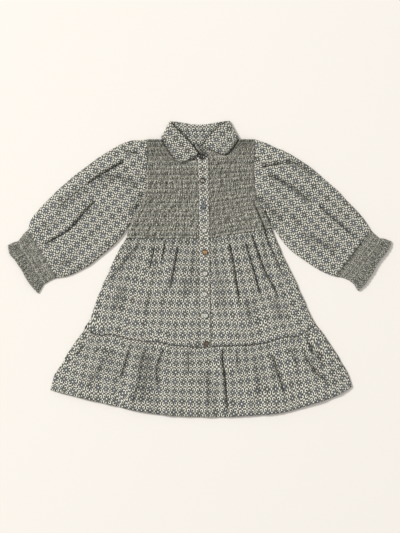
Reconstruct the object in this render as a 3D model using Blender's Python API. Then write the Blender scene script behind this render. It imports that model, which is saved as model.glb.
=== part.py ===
# Smocked shirt dress with long sleeves, lying flat on its back
# X runs across the dress, Y from hem to collar, Z up from the surface it lies on
# Sizes and tables are in millimetres, and every mesh is made in metres
import math

import bmesh
import bpy
import numpy as np

OBJECT = "smocked_dress"
MM = 0.001

# The box of the finished dress is centred on the origin by this move
CENTRE = (-0.5, 0.967, 0.0)

# Walls and layers
BACK_WALL = 1.3
LAY = 0.3
SEAM = 0.3
FRONT_WALL = 1.75
SMOCK_BASE = 1.25
SMOCK_RAISE = 1.5
COLLAR_WALL = 1.0
EDGE_ROUND = 0.8

# Lower outline of the collar's leaves: x, y
LEAF_LINE = [(-110, 400), (-79, 400), (-77, 262), (-67, 245), (-52, 222), (-42, 211), (-34, 208),
             (-12, 213), (2, 222), (7, 240), (25, 229), (43, 225), (50, 225), (59, 231), (66, 240),
             (72, 249), (79, 261), (81, 400), (115, 400)]

# Counts
SMOCK_ROWS = 21
SMOCK_CELLS = 16
PLAIN_ROWS = [0.6, 1.6, 2.6, 3.6, 4.6, 5.6, 6.6, 7.6, 8.6, 9.6, 14, 20, 27, 34, 40.5]
TIER_GATHERS = 38
SLEEVE_STEPS = 10
ROUND_SLEEVE = 36
ROUND_INSIDE = 16
CUFF_BAND_STEPS = 7
CUFF_FRILL_STEPS = 4

# Outline of the bodice: x, y from shoulder to waist
ARM_LEFT = [(-105, 258), (-104.8, 225), (-105.2, 190), (-107.2, 162), (-112.5, 140), (-121.5, 122),
            (-130, 107), (-137, 91), (-147, 60)]
ARM_RIGHT = [(111, 258), (110.3, 225), (110, 190), (111.2, 162), (116, 140), (125, 122),
             (133.8, 107), (141, 91), (144.5, 81)]
NECK_LEFT = [(-68, 258.2), (-62, 249), (-53, 239), (-39, 227), (-23, 219), (-5, 215)]
NECK_RIGHT = [(70, 258.2), (63, 250), (53, 243), (39, 240), (27, 239), (18.2, 238.2)]
NECK_BACK = [(-68, 257.6), (-65, 254.6), (-53, 249.8), (-29, 246), (0, 244.6), (29, 246),
             (54, 249.8), (67, 254.6), (70, 257.6)]

# Placket edges: y, left x, right x
PLACKET = [(240, -5, 18.2), (215, -4, 18), (167, -1.8, 18.4), (65, -1, 20.6), (-40, 0, 21),
           (-157, 3, 23)]
PLACKET_TOP = 222

# Sides of the skirt: x, y from waist to tier seam
SIDE_LEFT = [(-147, 60), (-151, 53), (-159, 41), (-165, 29), (-171, 17), (-177, 5), (-187, -19),
             (-197, -43), (-207, -67), (-215, -91), (-220, -103), (-228, -115)]
SIDE_RIGHT = [(144.5, 81), (149, 68), (155, 53), (161, 41), (165, 29), (171, 17), (177, 5),
              (189, -19), (199, -43), (211, -67), (221, -91), (227, -103), (234, -114)]

# Gathered seam between skirt and tier: x, y
TIER_SEAM = [(-228, -115), (-213, -128), (-195, -133), (-179, -132), (-160, -135.6),
             (-139.6, -141.8), (-101.8, -146.4), (-85, -147), (-53.8, -153), (-5, -157),
             (33, -155.4), (70.4, -154), (99, -153), (131, -149), (152, -142.4), (175, -137.6),
             (195, -136), (209, -130), (219, -122), (234, -114)]

# Sides of the tier and the hem: x, y
TIER_LEFT = [(-228, -115), (-233, -127), (-243, -139), (-259, -163), (-273, -187),
             (-289, -211), (-293, -223), (-298, -243)]
TIER_RIGHT = [(234, -114), (245, -127), (261, -151), (277, -175), (291, -199), (301, -223),
              (305, -235)]
HEM = [(-298, -243), (-267, -251), (-219, -263), (-171, -274), (-139, -282), (-91, -290),
       (-59, -294), (-27, -296), (21, -297), (69, -296), (101, -294), (133, -292), (165, -288),
       (197, -280), (229, -270), (261, -260), (293, -244), (305, -235)]

# Sleeves: upper and lower edges as the sleeve lies, x, y from armhole to cuff
SLEEVE_LEFT_UP = [(-105, 258), (-113, 257), (-139, 255), (-155, 249), (-171, 241), (-203, 221),
                  (-235, 197), (-267, 171), (-299, 141), (-315, 125), (-325, 113), (-335, 101),
                  (-340, 88), (-344, 76)]
SLEEVE_LEFT_LOW = [(-137, 91), (-145, 79), (-157, 62), (-171, 47), (-187, 33), (-203, 20),
                   (-219, 7), (-235, -2), (-251, -10), (-267, -16), (-284, -18.5)]
SLEEVE_RIGHT_UP = [(111, 258), (133, 251), (149, 243), (165, 237), (181, 229), (213, 209),
                   (245, 183), (277, 155), (293, 137), (309, 121), (325, 103), (335, 89), (342, 77)]
SLEEVE_RIGHT_LOW = [(141, 91), (149.5, 78.5), (165, 56), (181, 38), (197, 25), (213, 14),
                    (229, 3), (245, -6), (261, -13), (271, -16)]

# Cuffs: edges from the sleeve to the frill's tip, then the frill's edge
CUFF_LEFT_UP = [(-344, 76), (-351, 70), (-357, 62), (-363, 55), (-372, 52), (-383, 47)]
CUFF_LEFT_LOW = [(-284, -18.5), (-292, -21), (-302, -26), (-312, -33), (-317, -41), (-322, -50)]
CUFF_LEFT_END = [(-383, 47), (-379, 29), (-369, 17), (-361, 5), (-353, -7), (-347, -19),
                 (-339, -31), (-329, -43), (-322, -50)]
CUFF_RIGHT_UP = [(342, 77), (348, 71), (355, 65), (360, 61), (370, 59.5), (384, 54)]
CUFF_RIGHT_LOW = [(271, -16), (284, -18), (297, -23), (308, -31), (313, -39), (317, -45)]
CUFF_RIGHT_END = [(384, 54), (379, 41), (371, 29), (361, 17), (353, 5), (347, -7),
                  (339, -19), (331, -31), (317, -45)]

# Folds of the skirt and tier: x0, y0, x1, y1, half width, depth
FOLDS = [
    (-90, 39, -100, -5, 9, 1.1),
    (-68, 55, -75, 16, 8, 1.0),
    (-50, 55, -59, 22, 7, 0.8),
    (-43, 39, -59, -48, 9, 1.5),
    (-121, 47, -189, -37, 13, 1.0),
    (-27, -19, -29, -65, 10, 0.6),
    (61, 45, 74, -26, 8, 1.2),
    (74, -26, 82, -71, 9, 1.0),
    (93, 47, 127, -61, 8, 1.3),
    (105, 67, 134, 4, 8, 1.2),
    (134, 4, 163, -67, 9, 1.3),
    (131, 77, 152, 23, 8, 1.0),
    (152, 23, 175, -28, 9, 1.2),
    (-227, -152, -248, -176, 10, 1.0),
    (-195, -156, -211, -172, 9, 0.8),
    (-140, -170, -158, -225, 11, 1.1),
    (-107, -170, -119, -263, 14, 1.2),
    (-70, -166, -82, -245, 11, 1.1),
    (-22, -168, -22, -219, 10, 0.7),
    (47, -170, 55, -293, 10, 1.6),
    (75, -170, 77, -205, 9, 0.8),
    (147, -179, 174, -258, 10, 1.2),
    (182, -162, 199, -201, 9, 0.9),
    (215, -146, 264, -237, 10, 1.2),
]

# Folds of the sleeves: x0, y0, x1, y1, half width, depth
SLEEVE_FOLDS = [
    (-154, 212, -219, 171, 9, 1.1),
    (-219, 171, -284, 113, 10, 0.7),
    (-208, 134, -260, 77, 9, 1.3),
    (-260, 77, -312, 47, 9, 1.1),
    (-197, 182, -121, 164, 10, 0.7),
    (-251, 17, -280, 6, 8, 0.7),
    (138, 186, 194, 156, 9, 1.1),
    (194, 156, 235, 137, 9, 1.0),
    (240, 125, 300, 70, 9, 1.2),
    (205, 69, 281, 32, 10, 0.9),
    (134, 204, 175, 212, 8, 0.7),
]

# Left half of the collar: roll x, y, edge x, y, joint of fall and stand x, y, height of the
# roll, of the edge, how it lies, and the stand's neckline x, y, z
# It lies 1 under the leaf in front, 0 flat at the back, and 2, 3 and 4 round the fold between
COLLAR_LEFT = [
    (-3.2, 228, -34, 210.6, 0, 0, 6.0, 5.9, 1, -8, 218.8, 3.6),
    (-9, 237.5, -42.4, 212.6, 0, 0, 5.9, 5.8, 1, -14, 219.4, 3.4),
    (-19, 249.8, -52.4, 222.4, 0, 0, 5.8, 5.7, 1, -28, 223.4, 3.3),
    (-31, 262.4, -60.4, 233.8, 0, 0, 5.8, 5.7, 1, -42, 232, 3.2),
    (-43, 274.6, -67, 244.6, 0, 0, 5.8, 5.7, 1, -53, 242, 3.2),
    (-51.8, 283.8, -72.4, 253.8, 0, 0, 5.8, 5.6, 1, -61, 252, 3.1),
    (-56.6, 291, -75.8, 260, 0, 0, 5.8, 5.4, 2, -64.4, 257.6, 3.4),
    (-58.4, 293.8, -76.8, 262, -60.2, 287.6, 3.1, 3.1, 3, -65.8, 259.2, 2.3),
    (-56.6, 293.0, -74.6, 263.8, -57.6, 285.4, 0.55, 0.55, 4, -64.4, 258.6, 1.1),
    (-50, 293.2, -66, 267.8, -48, 274.2, 0.55, 0.55, 0, -58, 254.6, 0.9),
    (-35, 291.2, -51, 269.8, -33, 273.6, 0.55, 0.55, 0, -42, 250.2, 0.8),
    (-18, 288.2, -26, 268.2, -17, 273.2, 0.55, 0.55, 0, -22, 247.4, 0.8),
    (0, 287, 0, 267, 0, 273, 0.55, 0.55, 0, 0, 246.6, 0.8),
]
# Right half, from the back of the neck to the front, with the same columns
COLLAR_RIGHT = [
    (18, 288.4, 26, 268.4, 17, 273.2, 0.55, 0.55, 0, 22, 247.4, 0.8),
    (36, 291.6, 51, 269.8, 33, 273.6, 0.55, 0.55, 0, 42, 250.2, 0.8),
    (51, 293.8, 67, 267.6, 48, 274.2, 0.55, 0.55, 0, 59.6, 254.6, 0.9),
    (57.2, 294.0, 75.8, 263.4, 58.2, 286.5, 0.55, 0.55, 4, 65.8, 258.6, 1.1),
    (59, 294.6, 78, 261, 59.6, 288.4, 3.1, 3.1, 3, 67.4, 259.2, 2.3),
    (57, 292.4, 77.2, 258.6, 0, 0, 5.8, 5.4, 2, 66, 257.8, 3.4),
    (50, 288.4, 76, 256.6, 0, 0, 5.8, 5.6, 1, 61, 251.2, 3.1),
    (39, 281, 72, 250.4, 0, 0, 5.8, 5.7, 1, 51, 245.2, 3.2),
    (27, 270, 66, 241, 0, 0, 5.8, 5.7, 1, 40, 242, 3.2),
    (16, 257, 59, 232.4, 0, 0, 5.8, 5.7, 1, 30, 240.8, 3.3),
    (7, 244, 50, 226.6, 0, 0, 5.9, 5.8, 1, 20, 240, 3.4),
]

# Buttons: x, y, height of the underside
BUTTON_RADIUS = 5.7
BUTTONS = [
    (4.6, 223.6, 5.2),
    (5.6, 175.0, 5.2),
    (7.4, 125.0, 5.2),
    (9.6, 76.0, 5.2),
    (11.0, 32.4, 5.2),
    (11.0, -10.0, 5.2),
    (10.0, -51.0, 5.2),
    (12.0, -94.0, 5.2),
    (14.0, -150.0, 5.2),
]
# Half section of a button: radius, height
BUTTON_SECTION = [(4.9, 0.0), (5.7, 0.6), (5.6, 1.6), (4.9, 2.0), (3.9, 1.5)]
BUTTON_SIDES = 12

CLOTH_COLOUR = (0.29, 0.285, 0.26)
BUTTON_COLOURS = {
    "button_dark": (0.035, 0.025, 0.02),
    "button_slate": (0.13, 0.14, 0.15),
    "button_gold": (0.42, 0.26, 0.11),
    "button_pale": (0.66, 0.65, 0.58),
}
BUTTON_SLOTS = ["button_dark", "button_dark", "button_slate", "button_pale", "button_gold",
                "button_pale", "button_pale", "button_pale", "button_gold"]


def smooth(points, steps=16):
    """Dense smooth curve through the rows of a table."""
    pts = np.array(points, float)
    ext = np.vstack([2 * pts[0] - pts[1], pts, 2 * pts[-1] - pts[-2]])
    out = []
    for i in range(1, len(ext) - 2):
        p0, p1, p2, p3 = ext[i - 1], ext[i], ext[i + 1], ext[i + 2]
        for k in range(steps):
            t = k / steps
            out.append(0.5 * (2 * p1 + (p2 - p0) * t + (2 * p0 - 5 * p1 + 4 * p2 - p3) * t * t
                              + (3 * p1 - p0 - 3 * p2 + p3) * t ** 3))
    out.append(ext[-2])
    return np.array(out)


def by_length(points):
    """Edge as a function of 0 to 1 along its length."""
    dense = smooth(points)
    run = np.concatenate([[0], np.cumsum(np.hypot(*np.diff(dense, axis=0).T))])
    run = run / run[-1]
    return lambda t: np.stack([np.interp(t, run, dense[:, 0]), np.interp(t, run, dense[:, 1])], -1)


def by_height(points):
    """Edge as a function of 0 to 1 down its height."""
    dense = smooth(points)
    drop = (dense[0, 1] - dense[:, 1]) / (dense[0, 1] - dense[-1, 1])
    drop = np.maximum.accumulate(drop)
    return lambda t: np.stack([np.interp(t, drop, dense[:, 0]), np.interp(t, drop, dense[:, 1])], -1)


def armhole_edge(points):
    """The part of a bodice's side edge that the sleeve is set in, by its length."""
    dense = smooth(points)
    dense = dense[dense[:, 1] >= 91]
    run = np.concatenate([[0], np.cumsum(np.hypot(*np.diff(dense, axis=0).T))])
    run = run / run[-1]
    return lambda t: np.stack([np.interp(t, run, dense[:, 0]), np.interp(t, run, dense[:, 1])], -1)


def moved(edge, dx, dy):
    """The same edge moved sideways, which leaves the seam's gap."""
    return lambda t: edge(t) + np.array([dx, dy])


def patch(top, bottom, left, right, us, vs):
    """Points of a panel between four edges, u across and v down."""
    us = np.asarray(us, float)
    vs = np.asarray(vs, float)
    u = us[None, :, None]
    v = vs[:, None, None]
    t, b = top(us)[None], bottom(us)[None]
    le, ri = left(vs)[:, None], right(vs)[:, None]
    c00, c10 = top(np.array([0.0]))[0], top(np.array([1.0]))[0]
    c01, c11 = bottom(np.array([0.0]))[0], bottom(np.array([1.0]))[0]
    corners = (1 - u) * (1 - v) * c00 + u * (1 - v) * c10 + (1 - u) * v * c01 + u * v * c11
    return (1 - v) * t + v * b + (1 - u) * le + u * ri - corners


def distance(xy, x0, y0, x1, y1):
    """Distance of each point from a line and how far along it the foot lies."""
    a = np.array([x0, y0])
    d = np.array([x1 - x0, y1 - y0])
    k = ((xy - a) @ d) / (d @ d)
    foot = a + np.clip(k, 0, 1)[..., None] * d
    return np.hypot(*np.moveaxis(xy - foot, -1, 0))


def relief(xy, folds):
    """Troughs with a soft ridge on both sides, one for each row of the table."""
    h = np.zeros(xy.shape[:-1])
    for x0, y0, x1, y1, w, depth in folds:
        d = distance(xy, x0, y0, x1, y1)
        h += depth * (0.55 * np.exp(-((d - 1.7 * w) / w) ** 2) - np.exp(-(d / (0.8 * w)) ** 2))
    return h


def from_side(xy):
    """Distance in from the sides of the skirt and tier."""
    side_l = np.interp(-xy[..., 1], [-60, 115, 243], [147, 228, 298])
    side_r = np.interp(-xy[..., 1], [-81, 114, 235], [144.5, 234, 305])
    return np.maximum(np.minimum(xy[..., 0] + side_l, side_r - xy[..., 0]), 0)


def skirt_lift(xy):
    """Height of the front cloth's underside over the back cloth."""
    return 1.7 * (1 - np.exp(-from_side(xy) / 18))


def skirt_wall(xy):
    """Wall of the front cloth, with its folds raised and sunk in the outer side."""
    fold = relief(xy, FOLDS) * (1 - np.exp(-from_side(xy) / 12))
    return FRONT_WALL + np.clip(fold, -0.7, 1.1)


def bodice_lift(xy):
    """Height of the smocked fronts' underside over the back."""
    drop = np.clip((256 - xy[..., 1]) / 60, 0, 1)
    side = np.clip((150 - np.abs(xy[..., 0] - 2)) / 40, 0, 1)
    return 0.3 + 0.9 * drop * side


def stitch(bm, a, ta, b, tb):
    """Triangles between two closed loops that start at the same corner."""
    na, nb = len(a), len(b)
    i = j = 0
    while i < na or j < nb:
        next_a = ta[i + 1] if i + 1 < na else ta[0] + 4
        next_b = tb[j + 1] if j + 1 < nb else tb[0] + 4
        if j >= nb or (i < na and next_a <= next_b):
            bm.faces.new((a[i % na], a[(i + 1) % na], b[j % nb]))
            i += 1
        else:
            bm.faces.new((a[i % na], b[(j + 1) % nb], b[j % nb]))
            j += 1


def border(n, m):
    """Grid places round the border of n by m cells, with a running number of 0 to 4."""
    out = [((0, k), k / m) for k in range(m)]
    out += [((k, m), 1 + k / n) for k in range(n)]
    out += [((n, m - k), 2 + k / m) for k in range(m)]
    out += [((n - k, 0), 3 + k / n) for k in range(n)]
    return out


def grid_faces(bm, verts):
    """Two triangles for each cell of a grid of vertices."""
    for i in range(len(verts) - 1):
        for j in range(len(verts[0]) - 1):
            a, b = verts[i][j], verts[i][j + 1]
            c, d = verts[i + 1][j + 1], verts[i + 1][j]
            if (i + j) % 2:
                bm.faces.new((a, b, c))
                bm.faces.new((a, c, d))
            else:
                bm.faces.new((a, b, d))
                bm.faces.new((b, c, d))


def new_vert(bm, p):
    """A vertex from a point in millimetres."""
    return bm.verts.new([(p[k] + CENTRE[k]) * MM for k in range(3)])


def material(name, colour, rough):
    """One plain shader for one sub-part."""
    mat = bpy.data.materials.new(name)
    mat.use_nodes = True
    shader = mat.node_tree.nodes["Principled BSDF"]
    shader.inputs["Base Color"].default_value = (*colour, 1.0)
    shader.inputs["Roughness"].default_value = rough
    return mat


def finish(name, bm, colour=CLOTH_COLOUR, rough=0.9):
    """Close, face outwards and place one sub-part."""
    bmesh.ops.triangulate(bm, faces=[f for f in bm.faces if len(f.verts) > 3])
    bmesh.ops.recalc_face_normals(bm, faces=bm.faces[:])
    mesh = bpy.data.meshes.new(name)
    bm.to_mesh(mesh)
    bm.free()
    obj = bpy.data.objects.new(name, mesh)
    mesh.materials.append(material(name, colour, rough))
    PARTS.objects.link(obj)
    return obj


def slab(name, edges, us, vs, z_in, z_out, inner, ends=(0, 0, 0, 0), rows=None):
    """A panel with a fine outer side and a plain inner side, joined round its border.

    ends gives the part of the width or height by which the outer side stops short
    at left, right, top and bottom, which rounds an outer edge.
    """
    us = np.asarray(us, float)
    vs = np.asarray(vs, float)
    n, m = len(vs) - 1, len(us) - 1
    outer_xy = patch(*edges, np.clip(us, ends[0], 1 - ends[1]), np.clip(vs, ends[2], 1 - ends[3]))
    fine_xy = patch(*edges, us, vs)
    z_o = z_out(outer_xy)
    z_f = z_in(fine_xy)
    bm = bmesh.new()
    outer = [[new_vert(bm, (*outer_xy[i, j], z_o[i, j])) for j in range(m + 1)] for i in range(n + 1)]
    grid_faces(bm, outer)
    rim = border(n, m)
    top_loop = [outer[i][j] for (i, j), _ in rim]
    low_loop = [new_vert(bm, (*fine_xy[i, j], z_f[i, j])) for (i, j), _ in rim]
    count = len(rim)
    for k in range(count):
        bm.faces.new((top_loop[k], low_loop[k], low_loop[(k + 1) % count], top_loop[(k + 1) % count]))
    p, q = inner
    cu = (np.arange(p + 1) + 0.5) / (p + 1)
    cv = (np.arange(q + 1) + 0.5) / (q + 1)
    if rows is None:
        rows = np.interp(cv, np.linspace(0, 1, n + 1), vs)
    coarse_xy = patch(*edges, np.interp(cu, np.linspace(0, 1, m + 1), us), rows)
    z_c = z_in(coarse_xy)
    coarse = [[new_vert(bm, (*coarse_xy[i, j], z_c[i, j])) for j in range(p + 1)] for i in range(q + 1)]
    grid_faces(bm, coarse)
    inside = border(q, p)
    across, down = np.interp(cu, np.linspace(0, 1, m + 1), us), rows
    mark = lambda i, j, t, hu, hv: (0 + hu[j], 1 + hv[i], 3 - hu[j], 4 - hv[i])[int(t)]
    stitch(bm, low_loop, [mark(i, j, t, us, vs) for (i, j), t in rim],
           [coarse[i][j] for (i, j), _ in inside],
           [mark(i, j, t, across, down) for (i, j), t in inside])
    return bm


def back_panel(name, edges, us, vs, inner, ends):
    """A plain back panel, flat underneath."""
    flat = lambda xy: np.zeros(xy.shape[:-1])
    wall = lambda xy: np.full(xy.shape[:-1], BACK_WALL)
    finish(name, slab(name, edges, us, vs, flat, wall, inner, ends))


def ring(name, edges, steps, lift, raise_, around, inside, corner=0.0):
    """A flattened tube: an upper and a lower wall joined along both edges, open at its ends.

    corner is how much further its hollow stays from the lower corner of its first end.
    """
    us = np.asarray(steps, float)
    half = around // 2
    bm = bmesh.new()
    outer, inner = [], []
    line = patch(*edges, us, np.array([0.0, 1.0]))
    width = np.hypot(*(line[0] - line[1]).T)

    def inner_loop(u, count):
        wide = float(np.interp(u, us, width))
        v = np.linspace(1.7 / wide, 1 - (1.7 + corner * math.exp(-u / 0.1)) / wide, count)
        xi = patch(*edges, np.array([u]), v)[:, 0]
        hi = BACK_WALL + LAY + lift(xi, np.minimum(v, 1 - v) * wide, u)
        loop = [(*xi[j], hi[j]) for j in range(count)]
        return loop + [(*xi[j], BACK_WALL) for j in range(count - 1, -1, -1)]

    for k, u in enumerate(us):
        e = EDGE_ROUND / width[k]
        vs = np.concatenate([[0.0], np.linspace(e, 1 - e, half - 1), [1.0]])
        xy = patch(*edges, np.array([u]), vs)[:, 0]
        near = np.minimum(vs, 1 - vs) * width[k]
        low = BACK_WALL + LAY + lift(xy, near, u)
        top = low + FRONT_WALL + raise_(xy, near, u, vs * (half), k)
        top[0] = top[-1] = 1.5
        loop = [(*xy[j], top[j]) for j in range(half + 1)]
        loop += [(*xy[j], 0.0) for j in range(half - 1, 0, -1)]
        outer.append([new_vert(bm, p) for p in loop])
        inner.append([new_vert(bm, p) for p in inner_loop(u, inside // 2)])
    ends = [[new_vert(bm, p) for p in inner_loop(u, half)] for u in (us[0], us[-1])]
    inner = inner[1:-1]
    for loops in (outer, inner):
        grid_faces(bm, [lp + [lp[0]] for lp in loops])
    even = lambda loop: [4 * k / len(loop) for k in range(len(loop))]
    for near_loop, end, far in ((outer[0], ends[0], inner[0]), (outer[-1], ends[1], inner[-1])):
        stitch(bm, near_loop, even(near_loop), end, even(end))
        stitch(bm, end, even(end), far, even(far))
    finish(name, bm)


def shell(name, rows, wall):
    """A wall of even thickness on both sides of a grid of points."""
    mid = np.array(rows, float)
    du = np.gradient(mid, axis=1)
    dv = np.gradient(mid, axis=0)
    normal = np.cross(du, dv)
    normal /= np.linalg.norm(normal, axis=-1, keepdims=True)
    n, m = mid.shape[0] - 1, mid.shape[1] - 1
    bm = bmesh.new()
    sides = []
    for sign in (1, -1):
        pts = mid + sign * 0.5 * wall * normal
        sides.append([[new_vert(bm, pts[i, j]) for j in range(m + 1)] for i in range(n + 1)])
    for side in sides:
        grid_faces(bm, side)
    rim = [place for place, _ in border(n, m)]
    for k, (i, j) in enumerate(rim):
        i2, j2 = rim[(k + 1) % len(rim)]
        bm.faces.new((sides[0][i][j], sides[1][i][j], sides[1][i2][j2], sides[0][i2][j2]))
    finish(name, bm)


def make_bodice():
    """Two smocked fronts over a plain back."""
    rows_in_all = 2 * SMOCK_ROWS
    rows = np.linspace(0, 1, rows_in_all + 1)
    cells = np.linspace(0, 1, SMOCK_CELLS + 1)
    seam = SEAM / 2

    def placket_edge(side):
        ys = [-r[0] for r in PLACKET]
        xs = [r[1 if side < 0 else 2] for r in PLACKET]
        return lambda y: np.interp(-y, ys, xs)

    neck_l = smooth(NECK_LEFT)
    neck_r = smooth(NECK_RIGHT)
    edge_l = placket_edge(-1)
    edge_r = placket_edge(1)

    def centre_left(t):
        y = 258 - t * (258 - 60)
        x = np.where(y > 215, np.interp(-y, -neck_l[:, 1], neck_l[:, 0]), edge_l(y))
        return np.stack([x - seam, np.maximum(y, 60 + seam)], -1)

    def centre_right(t):
        y = 258 - t * (258 - 60.5)
        x = np.where(y > 238.2, np.interp(-y, -neck_r[:, 1], neck_r[:, 0]), edge_r(y))
        return np.stack([x + seam, np.maximum(y, 60.5 + seam)], -1)

    for name, arm, centre, shift, mirror in (
            ("front_bodice_left", by_height(ARM_LEFT), centre_left, seam + 0.1, False),
            ("front_bodice_right", by_height(ARM_RIGHT), centre_right, -seam - 0.1, True)):
        outer_edge = moved(arm, shift, seam)
        left, right = (centre, outer_edge) if mirror else (outer_edge, centre)
        a0, a1 = left(np.array([0.0, 1.0]))
        b0, b1 = right(np.array([0.0, 1.0]))
        top = lambda t, a0=a0, b0=b0: a0 + (b0 - a0) * np.asarray(t)[..., None]
        bottom = lambda t, a1=a1, b1=b1: a1 + (b1 - a1) * np.asarray(t)[..., None]
        z_in = lambda xy: BACK_WALL + LAY + bodice_lift(xy)

        def z_out(xy, z_in=z_in):
            base = z_in(xy) + SMOCK_BASE
            if xy.shape[0] != 2 * SMOCK_ROWS + 1:
                return base
            i = np.arange(xy.shape[0])[:, None]
            j = np.arange(xy.shape[1])[None, :]
            puff = i % 2
            brick = (j + i // 2) % 2
            bump = np.where(puff, 0.62 + 0.38 * brick, 0.16 + 0.14 * ((j + i // 2) % 2))
            leaf = np.interp(xy[..., 0], [r[0] for r in LEAF_LINE], [r[1] for r in LEAF_LINE])
            calm = np.clip((leaf - 3 - xy[..., 1]) / 8, 0.1, 1)
            ends = np.minimum(np.minimum(j, xy.shape[1] - 1 - j) / 1.0, 1)
            return base + SMOCK_RAISE * bump * calm * (0.3 + 0.7 * ends)

        bm = slab(name, (top, bottom, left, right), cells, rows, z_in, z_out,
                  (6, len(PLAIN_ROWS) - 1), (0, 0, 0, 0), np.array(PLAIN_ROWS) / rows_in_all)
        finish(name, bm)

    left = moved(by_height(ARM_LEFT[:-1] + [(-147, 60)]), seam + 0.1, seam)
    right_full = ARM_RIGHT[:-1] + [(144.5, 81), (152, 60)]
    right = moved(by_height(right_full), -seam - 0.1, seam)
    neck = smooth(NECK_BACK)
    lx, ly = left(np.array([0.0]))[0]
    rx, ry = right(np.array([0.0]))[0]
    line = np.vstack([[lx, ly], neck - [0, 0.3], [rx, ry]])
    top = lambda t: np.stack([lx + (rx - lx) * t, np.interp(lx + (rx - lx) * t, line[:, 0], line[:, 1])], -1)
    a1 = left(np.array([1.0]))[0]
    b1 = right(np.array([1.0]))[0]
    bottom = lambda t: a1 + (b1 - a1) * np.asarray(t)[..., None]
    back_panel("back_bodice", (top, bottom, left, right), np.linspace(0, 1, 14), np.linspace(0, 1, 25),
               (7, 7), (0, 0, 0, 0))


def seam_line():
    """The gathered seam as straight runs between stations that skirt and tier share."""
    seam = smooth(TIER_SEAM)
    xs = np.concatenate([np.linspace(-228, 3, 19), [13], np.linspace(23, 234, 19)])
    ys = np.interp(xs, seam[:, 0], seam[:, 1])
    return xs, ys


def make_skirt():
    """Two fronts over a plain back, from the waist to the tier."""
    xs, ys = seam_line()
    half = SEAM / 2
    z_in = lambda xy: BACK_WALL + LAY + skirt_lift(xy)
    z_out = lambda xy: z_in(xy) + skirt_wall(xy)
    placket_y = [-r[0] for r in PLACKET]

    def run(a, b):
        sx, sy = xs[a:b + 1], ys[a:b + 1]
        t = np.linspace(0, 1, b - a + 1)
        return lambda u: np.stack([np.interp(u, t, sx), np.interp(u, t, sy) + half], -1)

    def line(x0, y0, x1, y1):
        return lambda t: np.array([x0, y0]) + np.array([x1 - x0, y1 - y0]) * np.asarray(t)[..., None]

    def strip(column, y0, y1, dx):
        xs_ = [r[column] for r in PLACKET]
        return lambda t: np.stack([np.interp(-(y0 + (y1 - y0) * t), placket_y, xs_) + dx,
                                   y0 + (y1 - y0) * t], -1)

    us, vs = np.linspace(0, 1, 19), np.linspace(0, 1, 15)
    left = moved(by_length(SIDE_LEFT), 0, 0)
    bottom = run(0, 18)
    y_low = ys[18] + half
    edges = (line(-147, 60 - half, -1.1 - half, 60 - half), lambda u: bottom(u) - np.array([half, 0]) * (u[..., None]),
             lambda t: left(t) + np.array([0, half]) * (2 * t[..., None] - 1),
             strip(1, 60 - half, y_low, -half))
    finish("front_skirt_left", slab("front_skirt_left", edges, us, vs, z_in, z_out, (5, 6),
                                    (0.006, 0, 0, 0)))
    right = by_length(SIDE_RIGHT)
    bottom_r = run(20, 38)
    y_low = ys[20] + half
    edges = (line(20.6 + half, 60.5 - half, 144.5, 81 - half),
             lambda u: bottom_r(u) + np.array([half, 0]) * (1 - u[..., None]),
             strip(2, 60.5 - half, y_low, half),
             lambda t: right(t) + np.array([0, half]) * (2 * t[..., None] - 1))
    finish("front_skirt_right", slab("front_skirt_right", edges, us, vs, z_in, z_out, (5, 6),
                                     (0, 0.006, 0, 0)))

    right_b = by_length([(152, 60)] + SIDE_RIGHT[2:])
    bottom_b = run(0, 38)
    edges = (line(-147, 60 - half, 152, 60 - half), bottom_b,
             lambda t: left(t) + np.array([0, half]) * (2 * t[..., None] - 1),
             lambda t: right_b(t) + np.array([0, half]) * (2 * t[..., None] - 1))
    back_panel("back_skirt", edges, np.linspace(0, 1, 39), np.linspace(0, 1, 7), (9, 4),
               (0.003, 0.003, 0, 0))

    t = np.linspace(0, 1, 39)
    top = lambda u: np.stack([np.interp(u, t, xs), np.interp(u, t, ys) - half], -1)
    hem = smooth(HEM)
    hem_x = np.interp(np.linspace(0, 1, 39), np.linspace(0, 1, 39), np.linspace(-298, 305, 39))
    hem_at = lambda u: np.interp(u, [0, 18 / 38, 20 / 38, 1], [-298, -1, 25, 305])
    low = lambda u: np.stack([hem_at(u), np.interp(hem_at(u), hem[:, 0], hem[:, 1])], -1)
    side_l = by_length(TIER_LEFT)
    side_r = by_length(TIER_RIGHT)
    edges = (top, low, lambda v: side_l(v) - np.array([0, half]) * (1 - v[..., None]),
             lambda v: side_r(v) - np.array([0, half]) * (1 - v[..., None]))
    vs = np.array([0, 0.06, 0.16, 0.3, 0.47, 0.65, 0.83, 1.0])

    def tier_out(xy):
        base = z_in(xy) + skirt_wall(xy)
        if xy.shape[1] != 2 * TIER_GATHERS + 1:
            return base
        j = np.arange(xy.shape[1])[None, :]
        fall = np.exp(-(vs / 0.16) ** 1.2)[:, None]
        return base + (0.9 * fall + 0.1) * (j % 2)

    finish("front_tier", slab("front_tier", edges, np.linspace(0, 1, 2 * TIER_GATHERS + 1), vs, z_in,
                              tier_out, (19, 4), (0.0022, 0.0022, 0, 0.008)))
    back_panel("back_tier", edges, np.linspace(0, 1, 39), np.linspace(0, 1, 7), (11, 4),
               (0.0022, 0.0022, 0, 0.008))


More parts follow.
